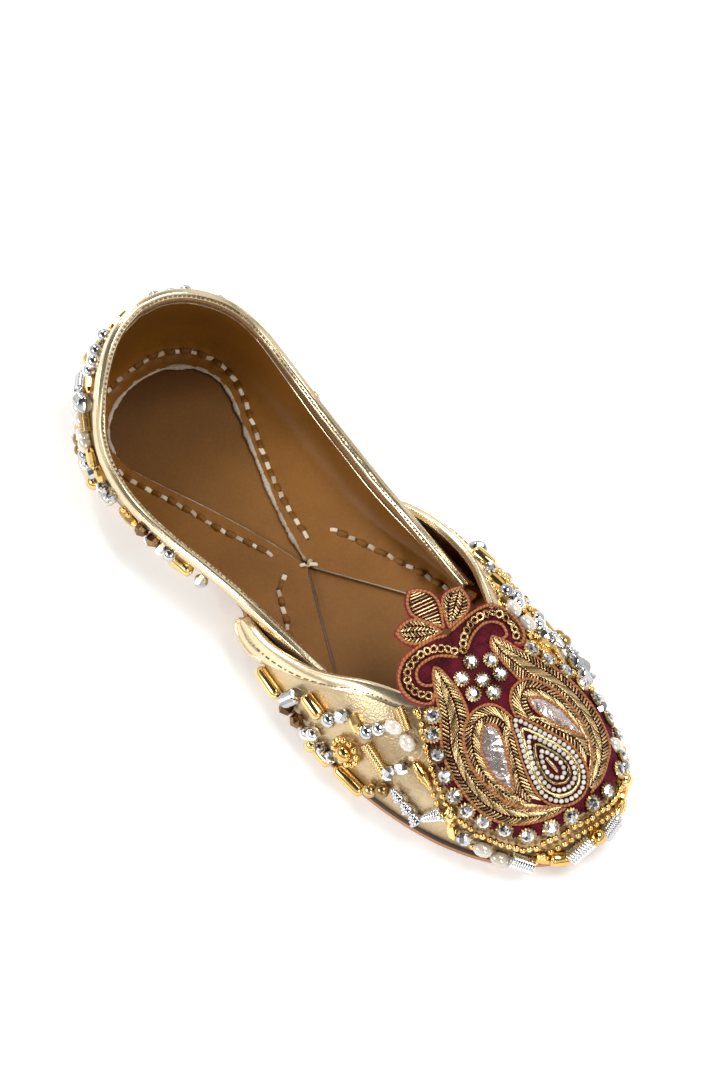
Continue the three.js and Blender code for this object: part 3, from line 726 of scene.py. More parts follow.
# %% Cream thread
def uneven_tone():
    """Each copy's own tone, with marks laid over it."""
    group, given, made = new_group(
        "uneven tone",
        [("Size", "NodeSocketFloat", 900.0), ("Detail", "NodeSocketFloat", 4.0),
         ("Share", "NodeSocketFloat", 0.3)],
        [("Tone", "NodeSocketFloat"), ("Marks", "NodeSocketFloat")])
    tone = add(group, "ShaderNodeAttribute", {"attribute_name": "tone"}).outputs["Fac"]
    marks = noise(group, given.outputs["Size"], given.outputs["Detail"])
    both = maths(group, "MULTIPLY_ADD", marks, given.outputs["Share"], tone)
    group.links.new(both, made.inputs["Tone"])
    group.links.new(marks, made.inputs["Marks"])
    return group

UNEVEN = uneven_tone()

def thread_finish(name, dark, light, roughness=0.75, depth=0.12):
    material, tree, shader = start(name, 0.0, roughness)
    fibres = add(tree, "ShaderNodeGroup", {"node_tree": UNEVEN}, Size=2200.0, Detail=3.0, Share=0.6)
    colour(tree, shader, ramp(tree, fibres.outputs["Tone"], (0.2, dark), (1.1, light)))
    bump(tree, shader, fibres.outputs["Marks"], 0.6, depth)
    return material

cream_thread = thread_finish("cream thread", (0.34, 0.25, 0.16), (0.68, 0.56, 0.41))

def flat_stitch():
    size = Vector((2.9, 1.65, 0.9)) * MM
    bpy.ops.mesh.primitive_cube_add(size=1, scale=size, location=(0, 0, 0.1 * MM))
    bpy.ops.object.transform_apply(location=True, rotation=True, scale=True)
    model = bpy.context.object
    bpy.ops.object.mode_set(mode="EDIT")
    bpy.ops.mesh.bevel(offset=0.35 * MM, segments=2)
    bpy.ops.mesh.subdivide(number_cuts=1)
    bpy.ops.object.mode_set(mode="OBJECT")
    co = corners(model)
    co[:, 2] -= 0.06 * MM * (co[:, 0] / MM) ** 2
    co[:, 1] *= 1 - 0.05 * (co[:, 0] / MM) ** 2
    model.data.vertices.foreach_set("co", co.ravel())
    bpy.ops.object.shade_smooth()
    return model

luck = random.Random(4)

def along_rows(first, lift, long, wide, swing):
    """A place for each pitch of every row, none laid quite like the last."""
    made = []
    for name, path in rows.items():
        pitch = STITCH_ROWS[name][1]
        for k in range(int(len(path) * STEP / pitch) + (first == 0)):
            i = min(int((k + first) * pitch / STEP), len(path) - 2)
            (here, out), (ahead, _) = rest_on(*path[i]), rest_on(*path[i + 1])
            stretch = (luck.uniform(*long), luck.uniform(*wide), 1)
            turn = luck.uniform(-swing, swing)
            made.append(place(here + out * lift * MM, unit(ahead - here), out, stretch, turn))
    return made

dashes = along_rows(0, 0.15, (.85, 1.1), (.85, 1.15), .25)
spread("cream_stitches", flat_stitch(), dashes, cream_thread)

# %% [markdown]
# Between two stitches the leather is pinched up into a soft swell. A round-ended shape turned
# on a lathe is sunk into the skin there, so only its back shows.

# %% Swelled leather between two stitches
def turned(profile, steps, axis="X", flat=False, closed=False):
    """A shape turned on a lathe. The profile holds (place along the axis, radius) in millimetres."""
    mesh = bpy.data.meshes.new("turned")
    spots = [(a * MM, 0, r * MM) if axis == "X" else (r * MM, 0, a * MM) for a, r in profile]
    edges = [(i, i + 1) for i in range(len(spots) - 1)]
    if closed:
        edges.append((len(spots) - 1, 0))
    mesh.from_pydata(spots, edges, [])
    model = bpy.data.objects.new("turned", mesh)
    bpy.context.scene.collection.objects.link(model)
    pick(model)
    bpy.ops.object.mode_set(mode="EDIT")
    bpy.ops.mesh.select_all(action="SELECT")
    spindle = (1, 0, 0) if axis == "X" else (0, 0, 1)
    bpy.ops.mesh.spin(steps=steps, angle=2 * math.pi, center=(0, 0, 0), axis=spindle)
    bpy.ops.mesh.select_all(action="SELECT")
    bpy.ops.mesh.remove_doubles(threshold=TOUCHING)
    bpy.ops.mesh.normals_make_consistent(inside=False)
    bpy.ops.object.mode_set(mode="OBJECT")
    if flat:
        bpy.ops.object.shade_flat()
    else:
        bpy.ops.object.shade_smooth_by_angle(angle=math.radians(50))
    return model

def round_profile(length, width, rings=4):
    """Half outline of a bead with round ends."""
    reach, r = max(length - width, 0) / 2, width / 2
    angles = np.linspace(0, math.pi / 2, rings + 1)
    tip = [(reach + r * math.cos(a), r * math.sin(a)) for a in angles]
    return tip + [(-a, r) for a, r in (tip[:-1] if reach == 0 else tip)[::-1]]

loops = along_rows(0.5, -0.72, (.9, 1.1), (.85, 1.1), .15)
swell = lining("swelled leather", (0.150, 0.060, 0.006), (0.205, 0.086, 0.016))
spread("leather_swells", turned(round_profile(4.4, 2.9, 5), 10), loops, swell)

# %% [markdown]
# ## Cords and cut edges
# Cords, fringes and rough cut edges are all thin round lines that follow a surface. One
# function sweeps a ring along a path, with a lay written into its own texture map, so a
# finish can twist round the line.

# %% Sweep a ring along a path
END_SHARE, ROUGH = 0.45, 0.45

def run_of(points):
    """How far along a line each of its points lies, in millimetres."""
    return np.r_[0, np.cumsum(np.linalg.norm(np.diff(points, axis=0), axis=1))] / MM

def wander(chance, count, rough):
    """Random steps to each side, slow along a smooth line and quick along a rough one."""
    if rough < ROUGH:
        steps = chance.random(count + 4) - 0.5
        return np.convolve(steps, np.ones(5) / 5, "valid") * 2.2
    return chance.random(count) - 0.5

def sweep(name, lines, radius, material, sides=6, flat=1.0, rough=0.0):
    """lines holds (points, facings) pairs in metres. rough is a random share of the radius."""
    chance = np.random.default_rng(3)
    verts, faces, lay, tone = [], [], [], []
    for points, facing in lines:
        points, facing = np.array(points), np.array(facing)
        closed = np.linalg.norm(points[0] - points[-1]) < 1e-6
        ahead = np.gradient(points, axis=0)
        if closed:
            ahead[0] = ahead[-1] = points[1] - points[-2]
        ahead /= np.linalg.norm(ahead, axis=1)[:, None] + 1e-12
        side = np.cross(facing, ahead)
        side /= np.linalg.norm(side, axis=1)[:, None] + 1e-12
        run = run_of(points)
        uneven = wander(chance, len(points), rough)
        size = radius * MM * (1 + rough * uneven * 2)
        if not closed:
            size[[0, -1]] *= END_SHARE
        points = points + side * (rough * radius * MM * uneven)[:, None]
        first = len(verts)
        for k in range(sides):
            a = 2 * math.pi * k / sides
            ring = points + (side * math.cos(a) + facing * math.sin(a) * flat) * size[:, None]
            verts.extend(ring)
        n = len(points)
        for k in range(sides):
            a, b = first + k * n, first + (k + 1) % sides * n
            for i in range(n - 1):
                faces.append((a + i, a + i + 1, b + i + 1, b + i))
                u, v = (run[i], run[i + 1]), (k / sides, (k + 1) / sides)
                lay.append(((u[0], v[0]), (u[1], v[0]), (u[1], v[1]), (u[0], v[1])))
        if not closed:
            for end, order in ((0, 1), (n - 1, -1)):
                faces.append([first + k * n + end for k in range(sides)][::order])
                lay.append([(run[end], 0)] * sides)
        tone += [chance.random()] * (n * sides)
    mesh = bpy.data.meshes.new(name)
    mesh.from_pydata([tuple(v) for v in verts], [], faces)
    mesh.uv_layers.new(name="lay").data.foreach_set("uv", np.array([c for f in lay for c in f]).ravel())
    shade = mesh.attributes.new("tone", "FLOAT", "POINT")
    shade.data.foreach_set("value", np.array(tone, np.float32))
    mesh.materials.append(material)
    piece = bpy.data.objects.new(name, mesh)
    bpy.context.scene.collection.objects.link(piece)
    pick(piece)
    bpy.ops.object.mode_set(mode="EDIT")
    bpy.ops.mesh.select_all(action="SELECT")
    bpy.ops.mesh.remove_doubles(threshold=TOUCHING / 2)
    bpy.ops.mesh.normals_make_consistent(inside=False)
    bpy.ops.object.mode_set(mode="OBJECT")
    bpy.ops.object.shade_smooth()
    finish_new(piece, f"{len(lines)} lines,")

# %% Raw edge of the flange round the heel seat
def edge_line(low, high, side, z):
    """The cut edge of the flange between two stations, at a height over the floor."""
    path = trace([flange_edge(t, side) for t in np.arange(low, high, 0.02)], 0.8)
    return [settle((x, y, z)) * MM for x, y in path]

# Dark cord finish for shadow lines: painted shade along the near flange edge and under the collar binding.
shadow_line_leather = leather("painted shadow line", (0.03, 0.014, 0.006), (0.16, 0.09, 0.05), 0, 0.7, 1600, 0.5, 0.2)

def level_line(line):
    return line, [(0, 0, 1)] * len(line)

QUARTER_END, FAR_CROSSING, NEAR_CROSSING = 1.9, 1.53, 0.86
waist_edge = edge_line(NEAR_CROSSING, FAR_CROSSING, -1, 7.5)
heel_edge = edge_line(0.0, FAR_CROSSING, 1, 7.3)[::-1] + edge_line(0.0, NEAR_CROSSING, -1, 7.3)[1:]
for name, line, width, edge, sides, flat, rough in (
        ("raw_heel_edge", heel_edge, 0.8, edge_leather, 7, 0.9, 0.38),
        ("raw_far_edge", edge_line(1.545, QUARTER_END, 1, 7.5), 0.4, edge_leather, 6, 0.8, 0.25),
        # The near flange edge is swept in the painted shadow finish, a dark line for the shade under the
        # edge.
        ("raw_near_edge", edge_line(1.545, QUARTER_END, -1, 7.7), 0.56, shadow_line_leather, 6, 0.8, 0.25),
        ("raw_waist_edge", waist_edge, 0.36, edge_leather, 6, 0.8, 0.25)):
    sweep(name, [level_line(line)], width, edge, sides, flat, rough)

# %% Tie thread at the crossing of the flange
tie = []
for ends in (((-22.4, -3.9), (-18.4, 1.2)), ((-20.6, -1.6), (-21.4, 0.9))):
    path = trace([ends[0], np.mean(ends, axis=0), ends[1]], 0.4)
    hits = [rest_on(x, y, 9, 1.0) for x, y in path]
    arch = np.sin(np.linspace(0, math.pi, len(path)))
    tie.append(([h + n * (0.2 + 0.7 * a) * MM for (h, n), a in zip(hits, arch)], [n for _, n in hits]))
sweep("tie_thread", tie, 0.75, cream_thread, 8, 0.55, 0.1)

# %% [markdown]
# The machine's thread is thin and dark, and pulled into the valley pressed for it. Each hand
# stitch goes down and comes up through a hole; a sunken bead of near-black leather is painted shade for the
# dark of that hole.

# %% Machine stitches in the seams
seam_thread = thread_finish("dark gold thread", (0.09, 0.055, 0.022), (0.26, 0.17, 0.075), 0.7)
SEAM_PITCH, SEAM_MARGIN = 1.75, 0.8
tacks = []
for met in seams:
    points = np.array([p for p, _ in met])
    run = run_of(points)
    for at in np.arange(SEAM_MARGIN, run[-1] - SEAM_MARGIN, SEAM_PITCH):
        i = min(int(np.searchsorted(run, at)), len(met) - 2)
        tacks.append(place(points[i], unit(points[i + 1] - points[i]), met[i][1]))
spread("machine_stitches", turned(round_profile(1.05, 0.42, 2), 6), tacks, seam_thread)

# %% Painted shade of the needle holes at both ends of each hand stitch
HOLE_FROM_MIDDLE = 1.75
holes = []
for m in dashes:
    ahead, out = unit(m[:3, 0]), m[:3, 2]
    for way in (-HOLE_FROM_MIDDLE, HOLE_FROM_MIDDLE):
        holes.append(place(m[:3, 3] + ahead * way * MM - out * 0.12 * MM, ahead, out, (1, 1, 0.5)))
needle_hole_shade = leather("needle hole painted shade", (0.012, 0.006, 0.002), (0.035, 0.016, 0.006), 0, 0.9, 1600, 0.5, 0.1)
spread("needle_holes", turned(round_profile(1.15, 1.1, 3), 8), holes, needle_hole_shade)

# %% [markdown]
# The vamp's binding starts low at the waist. Its end is folded over the corner and sewn down
# along the outside, so the corner looks like a small rounded hairpin. Nearby, the sole is
# trimmed close under the wall of the quarter.

# %% Folded end of the vamp binding at the near waist
FOLD = [(-6, -34.4, 17.8), (-11, -34.5, 17.2), (-15.2, -34.6, 15.8), (-17.4, -35.4, 14.2),
        (-17.2, -36.7, 12.6), (-14.6, -38.0, 11.7), (-10, -39.3, 11.8), (-5, -39.9, 12.9), (0, -39.0, 14.0)]
INNER_FOLD = [(-4, -33.6, 16.4), (-9, -33.8, 15.4), (-13, -34.2, 13.8), (-15.4, -34.9, 12.4),
              (-15.2, -36.0, 11.2)]
BAND = [(-17.2, -35.9, 13.4), (-14.2, -37.2, 14.4), (-10.3, -38.5, 15.5), (-6, -39.2, 16.6),
        (-1, -39.2, 18.2), (4, -38.7, 20.0), (9, -37.0, 21.4)]

def bent(points, facing, count=44):
    """A smooth line through points in millimetres, with one facing along all of it."""
    at = np.linspace(0, 1, len(points))
    fine = [[column(at, [p[k] for p in points], s) for k in range(3)] for s in np.linspace(0, 1, count)]
    return np.array(fine) * MM, [facing] * count

for name, points, facing, width, sides, flat, rough in (
        ("corner_fold", FOLD, (0, -0.3, 1), 1.25, 10, 1.0, 0.05),
        ("corner_fold_inner", INNER_FOLD, (0, -0.3, 1), 0.8, 8, 1.0, 0.05),
        ("corner_band", BAND, (-0.1, -0.8, 0.6), 2.3, 12, 0.42, 0.03)):
    line = bent(points, facing)
    sweep(name, [line], width, binding_leather, sides, flat, rough)

# %% Sole and vamp corner trimmed at the near waist
def share_of(values, start, end):
    """0 at the start, 1 at the end, and in proportion between them."""
    return np.clip((values - start) / (end - start), 0, 1)

def draw_in(name, low, high, by, top=99):
    """Moves the near side of a piece inwards between two stretches along the shoe."""
    piece = bpy.data.objects[name]
    co = corners(piece) / MM
    both = share_of(co[:, 0], *low) * share_of(co[:, 0], *high[::-1])
    share = both * both * (3 - 2 * both) * share_of(-co[:, 1], 18, 28) * share_of(-co[:, 2], -top, 6 - top)
    co[:, 1] += by * share
    piece.data.vertices.foreach_set("co", (co * MM).ravel())
    print(name, "drawn in by", round(float((by * share).max()), 2), "mm")

draw_in("sole", (-62, -34), (-11, 5), 3.6)
draw_in("vamp_leather", (-40, -30), (-18, -6), 2.4, 16)

# %% [markdown]
# The binding of the quarter ends inside the collar in a fine gold piping. Over it, where the leather
# turns under, a thin dark cord stands for the shade in the fold, as painted shade. Both follow the top line
# at a set depth below it.

# %% Fine piping under the inner edge of the quarter binding
SIDE_RISE = 1.5

def collar_line(down, away):
    """A line inside the wall, down below the top line. It rises a little along the sides."""
    line = []
    for side, stations in ((1, np.arange(1.9, 0.0, -0.02)), (-1, np.arange(0.02, 1.9, 0.02))):
        for t in stations:
            rise = SIDE_RISE * min(t / 0.9, 1)
            z = column(QUARTER_T, TOP_Z, t) - down + rise
            line.append(on_quarter(side, t, z, -away)[0])
    return level_line(np.array(line))

for name, down, away, width, finish, sides, rough in (
        ("collar_piping", 4.7, 2.75, 0.58, binding_leather, 8, 0.08),
        ("collar_shadow_line", 3.95, 2.85, 0.3, shadow_line_leather, 6, 0.1)):
    sweep(name, [collar_line(down, away)], width, finish, sides, 1.0, rough)

# %% [markdown]
# ## The velvet badge
# The badge is zardozi work: velvet is stretched on a frame, outlined with copper cord and
# filled with cut lengths of gilt coil, called bullion, each sewn down like a bead. Crystals,
# seed beads and foil finish it. The drawing is kept as a plan in millimetres, with x towards
# the toe and y across the shoe, and every thread is laid on the velvet from that plan.

# %% Velvet finish
def velvet_finish():
    material, tree, shader = start("maroon velvet", 0.0, 0.85, Specular_IOR_Level=0.15, Sheen_Weight=0.12,
                                   Sheen_Roughness=0.4, Sheen_Tint=(0.9, 0.3, 0.35, 1))
    pile, nap = noise(tree, 1900.0), noise(tree, 160.0, 3.0)
    both = maths(tree, "MULTIPLY_ADD", pile, 0.8, nap)
    colour(tree, shader, ramp(tree, both, (0.65, (0.018, 0.0015, 0.003)), (1.15, (0.125, 0.008, 0.019))))
    bump(tree, shader, pile, 0.9, 0.3)
    return material

velvet = velvet_finish()

# %% Plan of the three petals
def petal_sides(base, tip, width, count=15):
    base, tip = np.array(base, float), np.array(tip, float)
    across = unit(np.array([-(tip - base)[1], (tip - base)[0]])) * width / 2
    s = np.linspace(0, 1, count)
    bow = np.maximum(np.sin(math.pi * s ** 1.35), 0) ** 0.75
    spine = base + (tip - base) * s[:, None]
    return spine + across * bow[:, None], spine - across * bow[:, None]

PETALS = [petal_sides((41.2, 1.9), (25.0, 1.9), 9.6), petal_sides((42.2, 3.4), (34.0, 15.2), 8.4),
petal_sides((41.6, 0.4), (33.0, -10.4), 7.8)]
petal_lines = [np.vstack([a, b[::-1]]) for a, b in PETALS]

# %% Plan of the scrolls, long lobes, paisleys and drop
SCROLL_OUT = {1: [(43.4, 3.2), (43, 7), (42.8, 11), (42.8, 15), (43.8, 19.5), (47, 22.6), (52, 23.6),
                  (57, 22.5), (59.6, 19.6), (58.2, 17.4)],
              -1: [(43.6, 1.0), (42, -3), (41, -7), (40.6, -11), (41, -15), (43.6, -18.9), (48, -20.4),
                   (52.4, -19.6), (56.4, -16.5), (54.6, -13.2)]}
SCROLL_IN = {1: [(51.2, 3.2), (48.8, 7.2), (47.6, 12), (48.4, 15.8), (51.2, 18.2), (54.6, 17.2),
                 (54.8, 15)],
             -1: [(51.2, -0.8), (47.0, -5.4), (45.4, -10), (45.8, -13.4), (48.3, -15.2), (51, -14.6),
                  (53, -12.2)]}
RING_ROW = {1: [(50.6, 2.0), (47.9, 4.4), (46.2, 7.4), (45.1, 11), (45.2, 15), (46.4, 18.8),
                (49.4, 20.9), (53, 21.2), (56.4, 19.8)],
            -1: [(49.0, -0.4), (46.4, -2.4), (44.2, -5.4), (43.0, -9), (43.0, -12.8), (44.4, -16.2),
                 (47.6, -18), (51, -17.6), (54.2, -15.6)]}
PAISLEY = {1: [(77.9, 1.2), (73.5, 2.6), (70.5, 5.6), (69.6, 9.2), (70.3, 12.8), (73.4, 16),
               (78, 18.2), (85, 19), (92, 18), (98, 15.4), (103, 11.2), (106, 6.5)],
           -1: [(77.5, 0.1), (72.2, -1), (69.2, -3.3), (67.9, -6.8), (68.1, -10.3), (69.9, -14),
                (73.5, -17), (78, -19), (83, -19.8), (89, -19.4), (95.3, -18), (100, -15.2),
                (103.6, -11.4), (106.2, -7.6)]}
LOBES = {1: ([(52.2, 12.8), (55, 10.2), (60.5, 9.8), (66.3, 10), (69.6, 10.6), *PAISLEY[1][4:]],
             [(52.2, 12.8), (56, 15.4), (60.5, 16.8), (63.5, 18.8), (67, 21.4), (71, 23.7), (75, 25.1),
              (80, 26), (86, 26.2), (92, 25.3), (97, 23.6), (101.5, 20.8), (105, 16.4), (108.4, 10.5),
              (110, 4.2)]),
         -1: ([(48.6, -8.8), (51, -7.8), (56.2, -7.6), (60.5, -7.9), (64.9, -9.2), (68, -10.8),
               *PAISLEY[-1][5:]],
              [(48.6, -8.8), (51, -11), (54.5, -13.2), (59.2, -15.6), (63.4, -18.2), (66.6, -20.8),
               (70.7, -23.3), (75, -24.7), (80, -25.4), (86, -25.6), (92.4, -24.8), (98.1, -22.4),
               (102, -19.2), (105, -15.4), (107.4, -10.8), (108.8, -5)])}
FOILS = {1: ([(75.3, 8.6), (77.9, 12.6), (81.5, 14.6), (86, 15.6), (95.5, 15.4)], [(75.3, 8.6),
              (79, 8.0), (83, 8.8), (89, 11.4), (95.5, 15.4)]),
         -1: ([(73.2, -8.6), (77.2, -13.3), (82.2, -15.5), (88, -16.2), (95, -14.6)], [(73.2, -8.6),
               (75, -6.2), (78.4, -6.2), (84, -8.6), (90, -11.8), (95, -14.6)])}
DROP = [(78.6, 0.4), (84, 3.4), (88, 5.1), (92, 6.9), (96, 8.1), (100.4, 8), (104.3, 6.4),
        (107.1, 3.4), (108, 0), (107.1, -4), (104.5, -7), (101, -8.2), (97, -7.7), (92, -6.2),
        (88, -4.4), (84, -2.4)]
DROP_MIDDLE = [(85.5, 0.4), (90, 3.2), (95, 5.1), (99.6, 5.5), (103.3, 3.6), (104.7, 0), (103.3, -4),
               (99.4, -5.6), (94.5, -5.1), (90, -3.3)]
DROP_CORE = [(91.4, 0.3), (95, 2.2), (98.8, 2.5), (101.4, 0.2), (98.8, -2.6), (95, -2.3)]
print("badge plan:", len(petal_lines), "petals, drop", len(DROP), "points")

# %% Velvet ground, cut to the drawing
BORDER = [(59.8, -18.4), (63.9, -21.9), (69.5, -24.5), (75.6, -26.7), (81.8, -27.9), (87.7, -27.7),
          (93.6, -26), (100.1, -22.8), (106.2, -18.6), (109.6, -12.2), (111.4, -5.4), (112.5, 2.7),
          (112, 9.4), (108.3, 18.1), (104.3, 23.5), (98.5, 27.5), (92.8, 28.8), (86, 29.5),
          (79.8, 28.9), (74.2, 26.8), (68.4, 23.9), (62.9, 20.9)]
FLOWER = [(61.9, 0.6), (54.8, 1.5), (58.4, 7.0), (57.2, -4.5), (63.9, 6.4), (63.5, -4.8), (67.2, 0.6)]
BADGE_MIDDLE, PILE_HEIGHT, VELVET_WALL = (84, 1), 0.12, 1.5

def outwards(points, by):
    """Moves places away from the middle of the badge."""
    away = np.array(points) - BADGE_MIDDLE
    return points + away / np.linalg.norm(away, axis=1)[:, None] * by

rim = outwards(BORDER, 1.4)
body = np.vstack([trace(SCROLL_OUT[1]), trace(rim[::-1]), trace(SCROLL_OUT[-1])[::-1]])

def within(x, y, ring):
    """True where a place lies inside a closed line, by counting the sides it crosses."""
    x1, y1 = ring[:, 0], ring[:, 1]
    x2, y2 = np.roll(x1, -1), np.roll(y1, -1)
    x, y = x[:, None], y[:, None]
    level = (y1 > y) != (y2 > y)
    crossed = level & (x < (x2 - x1) * (y - y1) / (y2 - y1 + 1e-12) + x1)
    return crossed.sum(1) % 2 == 1

def swell_out(ring, by):
    away = sideways(np.vstack([ring[-1], ring, ring[0]]))[1:-1]
    area = np.sum(ring[:, 0] * np.roll(ring[:, 1], -1) - np.roll(ring[:, 0], -1) * ring[:, 1])
    return ring - away * by * np.sign(area)

def plan_of(piece):
    """The grid's own square, spread over the plan of the badge."""
    return corners(piece)[:, :2] * (92, 64) + (70, 0.5)

bpy.ops.mesh.primitive_grid_add(x_subdivisions=150, y_subdivisions=104, size=1, location=(0, 0, 0))
ground = bpy.context.object
ground.name = "velvet_ground"
plan = plan_of(ground)
keep = within(plan[:, 0], plan[:, 1], body)
for line in petal_lines:
    keep |= within(plan[:, 0], plan[:, 1], swell_out(trace(line), 0.45))
bpy.ops.object.mode_set(mode="EDIT")
bpy.ops.mesh.select_mode(type="VERT")
bpy.ops.mesh.select_all(action="DESELECT")
bpy.ops.object.mode_set(mode="OBJECT")
ground.data.vertices.foreach_set("select", ~keep)
bpy.ops.object.mode_set(mode="EDIT")
bpy.ops.mesh.delete(type="VERT")
bpy.ops.object.mode_set(mode="OBJECT")
luck = np.random.default_rng(2)
spots = [on_badge(x, y, PILE_HEIGHT * luck.random())[0] for x, y in plan_of(ground)]
ground.data.vertices.foreach_set("co", np.array(spots).ravel())
ground.data.materials.append(velvet)
wall = ground.modifiers.new("wall", "SOLIDIFY")
wall.thickness, wall.offset = VELVET_WALL * MM, -1
bpy.ops.object.modifier_apply(modifier="wall")
bpy.ops.object.shade_smooth()
finish_piece(ground, "patch_velvet", "vamp_patch")

# %% [markdown]
# Every shape in the drawing is outlined with a twisted copper cord, laid on the pile and sewn
# from above. Where the velvet is cut, its crimson pile stands out past the cord as a fringe.

# %% Copper cords
def laid(path, above):
    spots = [on_badge(x, y, above) for x, y in path]
    return np.array([p for p, _ in spots]), np.array([n for _, n in spots])

def cord_finish():
    material, tree, shader = start("copper cord", 0.25, 0.55)
    twist = add(tree, "ShaderNodeGroup", {"node_tree": TWIST}, Turns=0.7).outputs[0]
    # The cord's colour follows the twist: darker in the valleys between plies as painted shade, with random
    # tone from the noise.
    shade = maths(tree, "MULTIPLY_ADD", noise(tree, 1400.0), 0.7, twist)
    colour(tree, shader, ramp(tree, shade, (0.1, (0.12, 0.036, 0.009)), (1.3, (0.46, 0.165, 0.048))))
    bump(tree, shader, twist, 0.6, 0.14)
    return material

copper_cord = cord_finish()
cord_lines = list(petal_lines)
for side in (1, -1):
    cord_lines += [SCROLL_OUT[side], SCROLL_IN[side], PAISLEY[side], *LOBES[side], *FOILS[side]]
cord_plans = [trace(line) for line in cord_lines]
round_the_drop = trace(DROP, STEP, True)
cord_plans.append(round_the_drop + sideways(round_the_drop) * 1.35)
sweep("copper_cords", [laid(path, 0.6) for path in cord_plans], 0.52, copper_cord, 8, 1.0, 0.16)

# %% Crimson fringe of the cut velvet
crimson = thread_finish("crimson pile", (0.10, 0.006, 0.010), (0.36, 0.022, 0.036), 0.9, 0.3)
fringe_lines = [(line, 1) for line in petal_lines] + [(SCROLL_OUT[1][3:], 1), (SCROLL_OUT[-1][1:], -1)]
fringe_plans = [trace(line) + sideways(trace(line)) * way * 0.55 for line, way in fringe_lines]
fringe = [laid(path, 0.0) for path in fringe_plans]
sweep("crimson_fringe", fringe, 0.42, crimson, 6, 1.0, 0.5)
luck = random.Random(9)
hairs, HAIRS = [], 3
for path in fringe_plans:
    out_way = sideways(path)
    for i in range(len(path) - 1):
        for _ in range(HAIRS):
            foot = path[i] + out_way[i] * luck.uniform(-.2, .7)
            spot, facing = on_badge(*foot, luck.uniform(-.2, .4))
            lean = unit(np.array([luck.uniform(-1, 1), luck.uniform(-1, 1), luck.uniform(-.2, .8)]))
            hairs.append(place(spot, lean, facing, (luck.uniform(.6, 1.5), 1, 1)))
hair = turned([(0.5, 0), (0.45, 0.07), (-0.45, 0.07), (-0.5, 0)], 4)
spread("velvet_hairs", hair, hairs, crimson)

# %% [markdown]
# Bullion is fine gilt wire wound into a springy tube. It is cut into short lengths, and each
# is threaded on a needle and sewn across its shape, leaning against the one before. Each copy
# is painted its own tone, near black to pale gold, as painted light and shade where light meets the coil.

# %% Gilt finish, with the tone of each bead its own
def metal(name, dark, light, roughness, metallic=1.0, uneven=0.3, depth=0.05, **sockets):
    material, tree, shader = start(name, metallic, roughness, **sockets)
    wear_and_shade = add(tree, "ShaderNodeGroup", {"node_tree": UNEVEN}, Size=900.0, Detail=4.0, Share=uneven)
    marks = wear_and_shade.outputs["Marks"]
    colour(tree, shader, ramp(tree, wear_and_shade.outputs["Tone"], (0.1, dark), (1.1, light)))
    dull = add(tree, "ShaderNodeMapRange", Value=marks, To_Min=roughness * 0.75, To_Max=roughness * 1.3)
    tree.links.new(dull.outputs[0], shader.inputs["Roughness"])
    bump(tree, shader, marks, 0.4, depth)
    return material

# The bullion's near-black dark end is painted shade of the coils' gaps, set for each copy by its tone.
bullion = metal("gilt bullion", (0.075, 0.036, 0.011), (0.74, 0.54, 0.27), 0.22, 1.0, 0.6, 0.3)
bright_gold = metal("bright gold", (0.70, 0.42, 0.12), (0.95, 0.68, 0.28), 0.13)
antique_gold = metal("antique gold", (0.28, 0.17, 0.06), (0.72, 0.52, 0.24), 0.25)
silver = metal("silver plate", (0.42, 0.42, 0.43), (0.88, 0.88, 0.89), 0.12)
bronze = metal("bronze glass", (0.09, 0.045, 0.018), (0.38, 0.22, 0.10), 0.22)
print("metals ready")

# %% Bullion filling
SHORTEST, PITCH = 0.7, 1.18

def part_way(line, s):
    """The place a share s of the way along a line."""
    at = np.linspace(0, 1, len(line))
    return np.array([np.interp(s, at, line[:, k]) for k in (0, 1)])

def fill(a, b, pitch, lean, rows, gap=0.25):
    """Short lengths of coil laid across the strip between two lines, leaning in turn."""
    a, b = trace(a, 0.3), trace(b, 0.3)
    length = (len(a) + len(b)) * 0.15
    count = int(length / pitch)
    wires = []

    def across(s, w):
        p, q = (part_way(line, min(max(s, 0), 1)) for line in (a, b))
        return p + (q - p) * w

    for k in range(count):
        s = (k + .5) / count
        for row in range(rows):
            way = lean / length * (1 if row % 2 else -1)
            p, q = across(s - way, row / rows), across(s + way, (row + 1) / rows)
            long = np.linalg.norm(q - p)
            if long > SHORTEST:
                wires.append((p + (q - p) * gap / long, q - (q - p) * gap / long))
    return wires

HEADS = {1: [(84, 7.6), (80, 6.8)], -1: [(83, -6.6), (78, -4.8)]}
ENDS = {1: [(101, 12.6), (104.6, 8.6)], -1: [(100.5, -13), (104.8, -9.2)]}
wires = fill(*PETALS[0], 1.3, 1.2, 1, 0.5)
for petal in PETALS[1:]:
    wires += fill(*petal, PITCH, 0.9, 4)
round_drop = swell_out(trace(DROP, STEP, True)[:-1], 1.6)
middle = len(round_drop) // 2
for side in (1, -1):
    top, low = FOILS[side]
    half = round_drop[:middle] if side == 1 else round_drop[middle:][::-1]
    half = half[np.argsort(half[:, 0])]
    wires += fill(*LOBES[side], PITCH, 1.9, 3)
    wires += fill(PAISLEY[side], [*HEADS[side], *top, *ENDS[side]], PITCH, 1.6, 2)
    wires += fill([*low[2:], ENDS[side][0]], trace(half[half[:, 0] < 103]), PITCH, 1.6, 2)
bars = []
for p, q in wires:
    (a, na), (b, nb) = on_badge(*p, 0.5), on_badge(*q, 0.5)
    bars.append(place((a + b) / 2, unit(b - a), na + nb, (np.linalg.norm(b - a) / MM, 1, 1)))
half_coil = [(0.5, 0), (0.46, 0.30), (0.33, 0.42), (0.25, 0.34), (0.12, 0.42)]
coil = turned([*half_coil, (0.0, 0.34), *[(-a, r) for a, r in half_coil[::-1]]], 6)
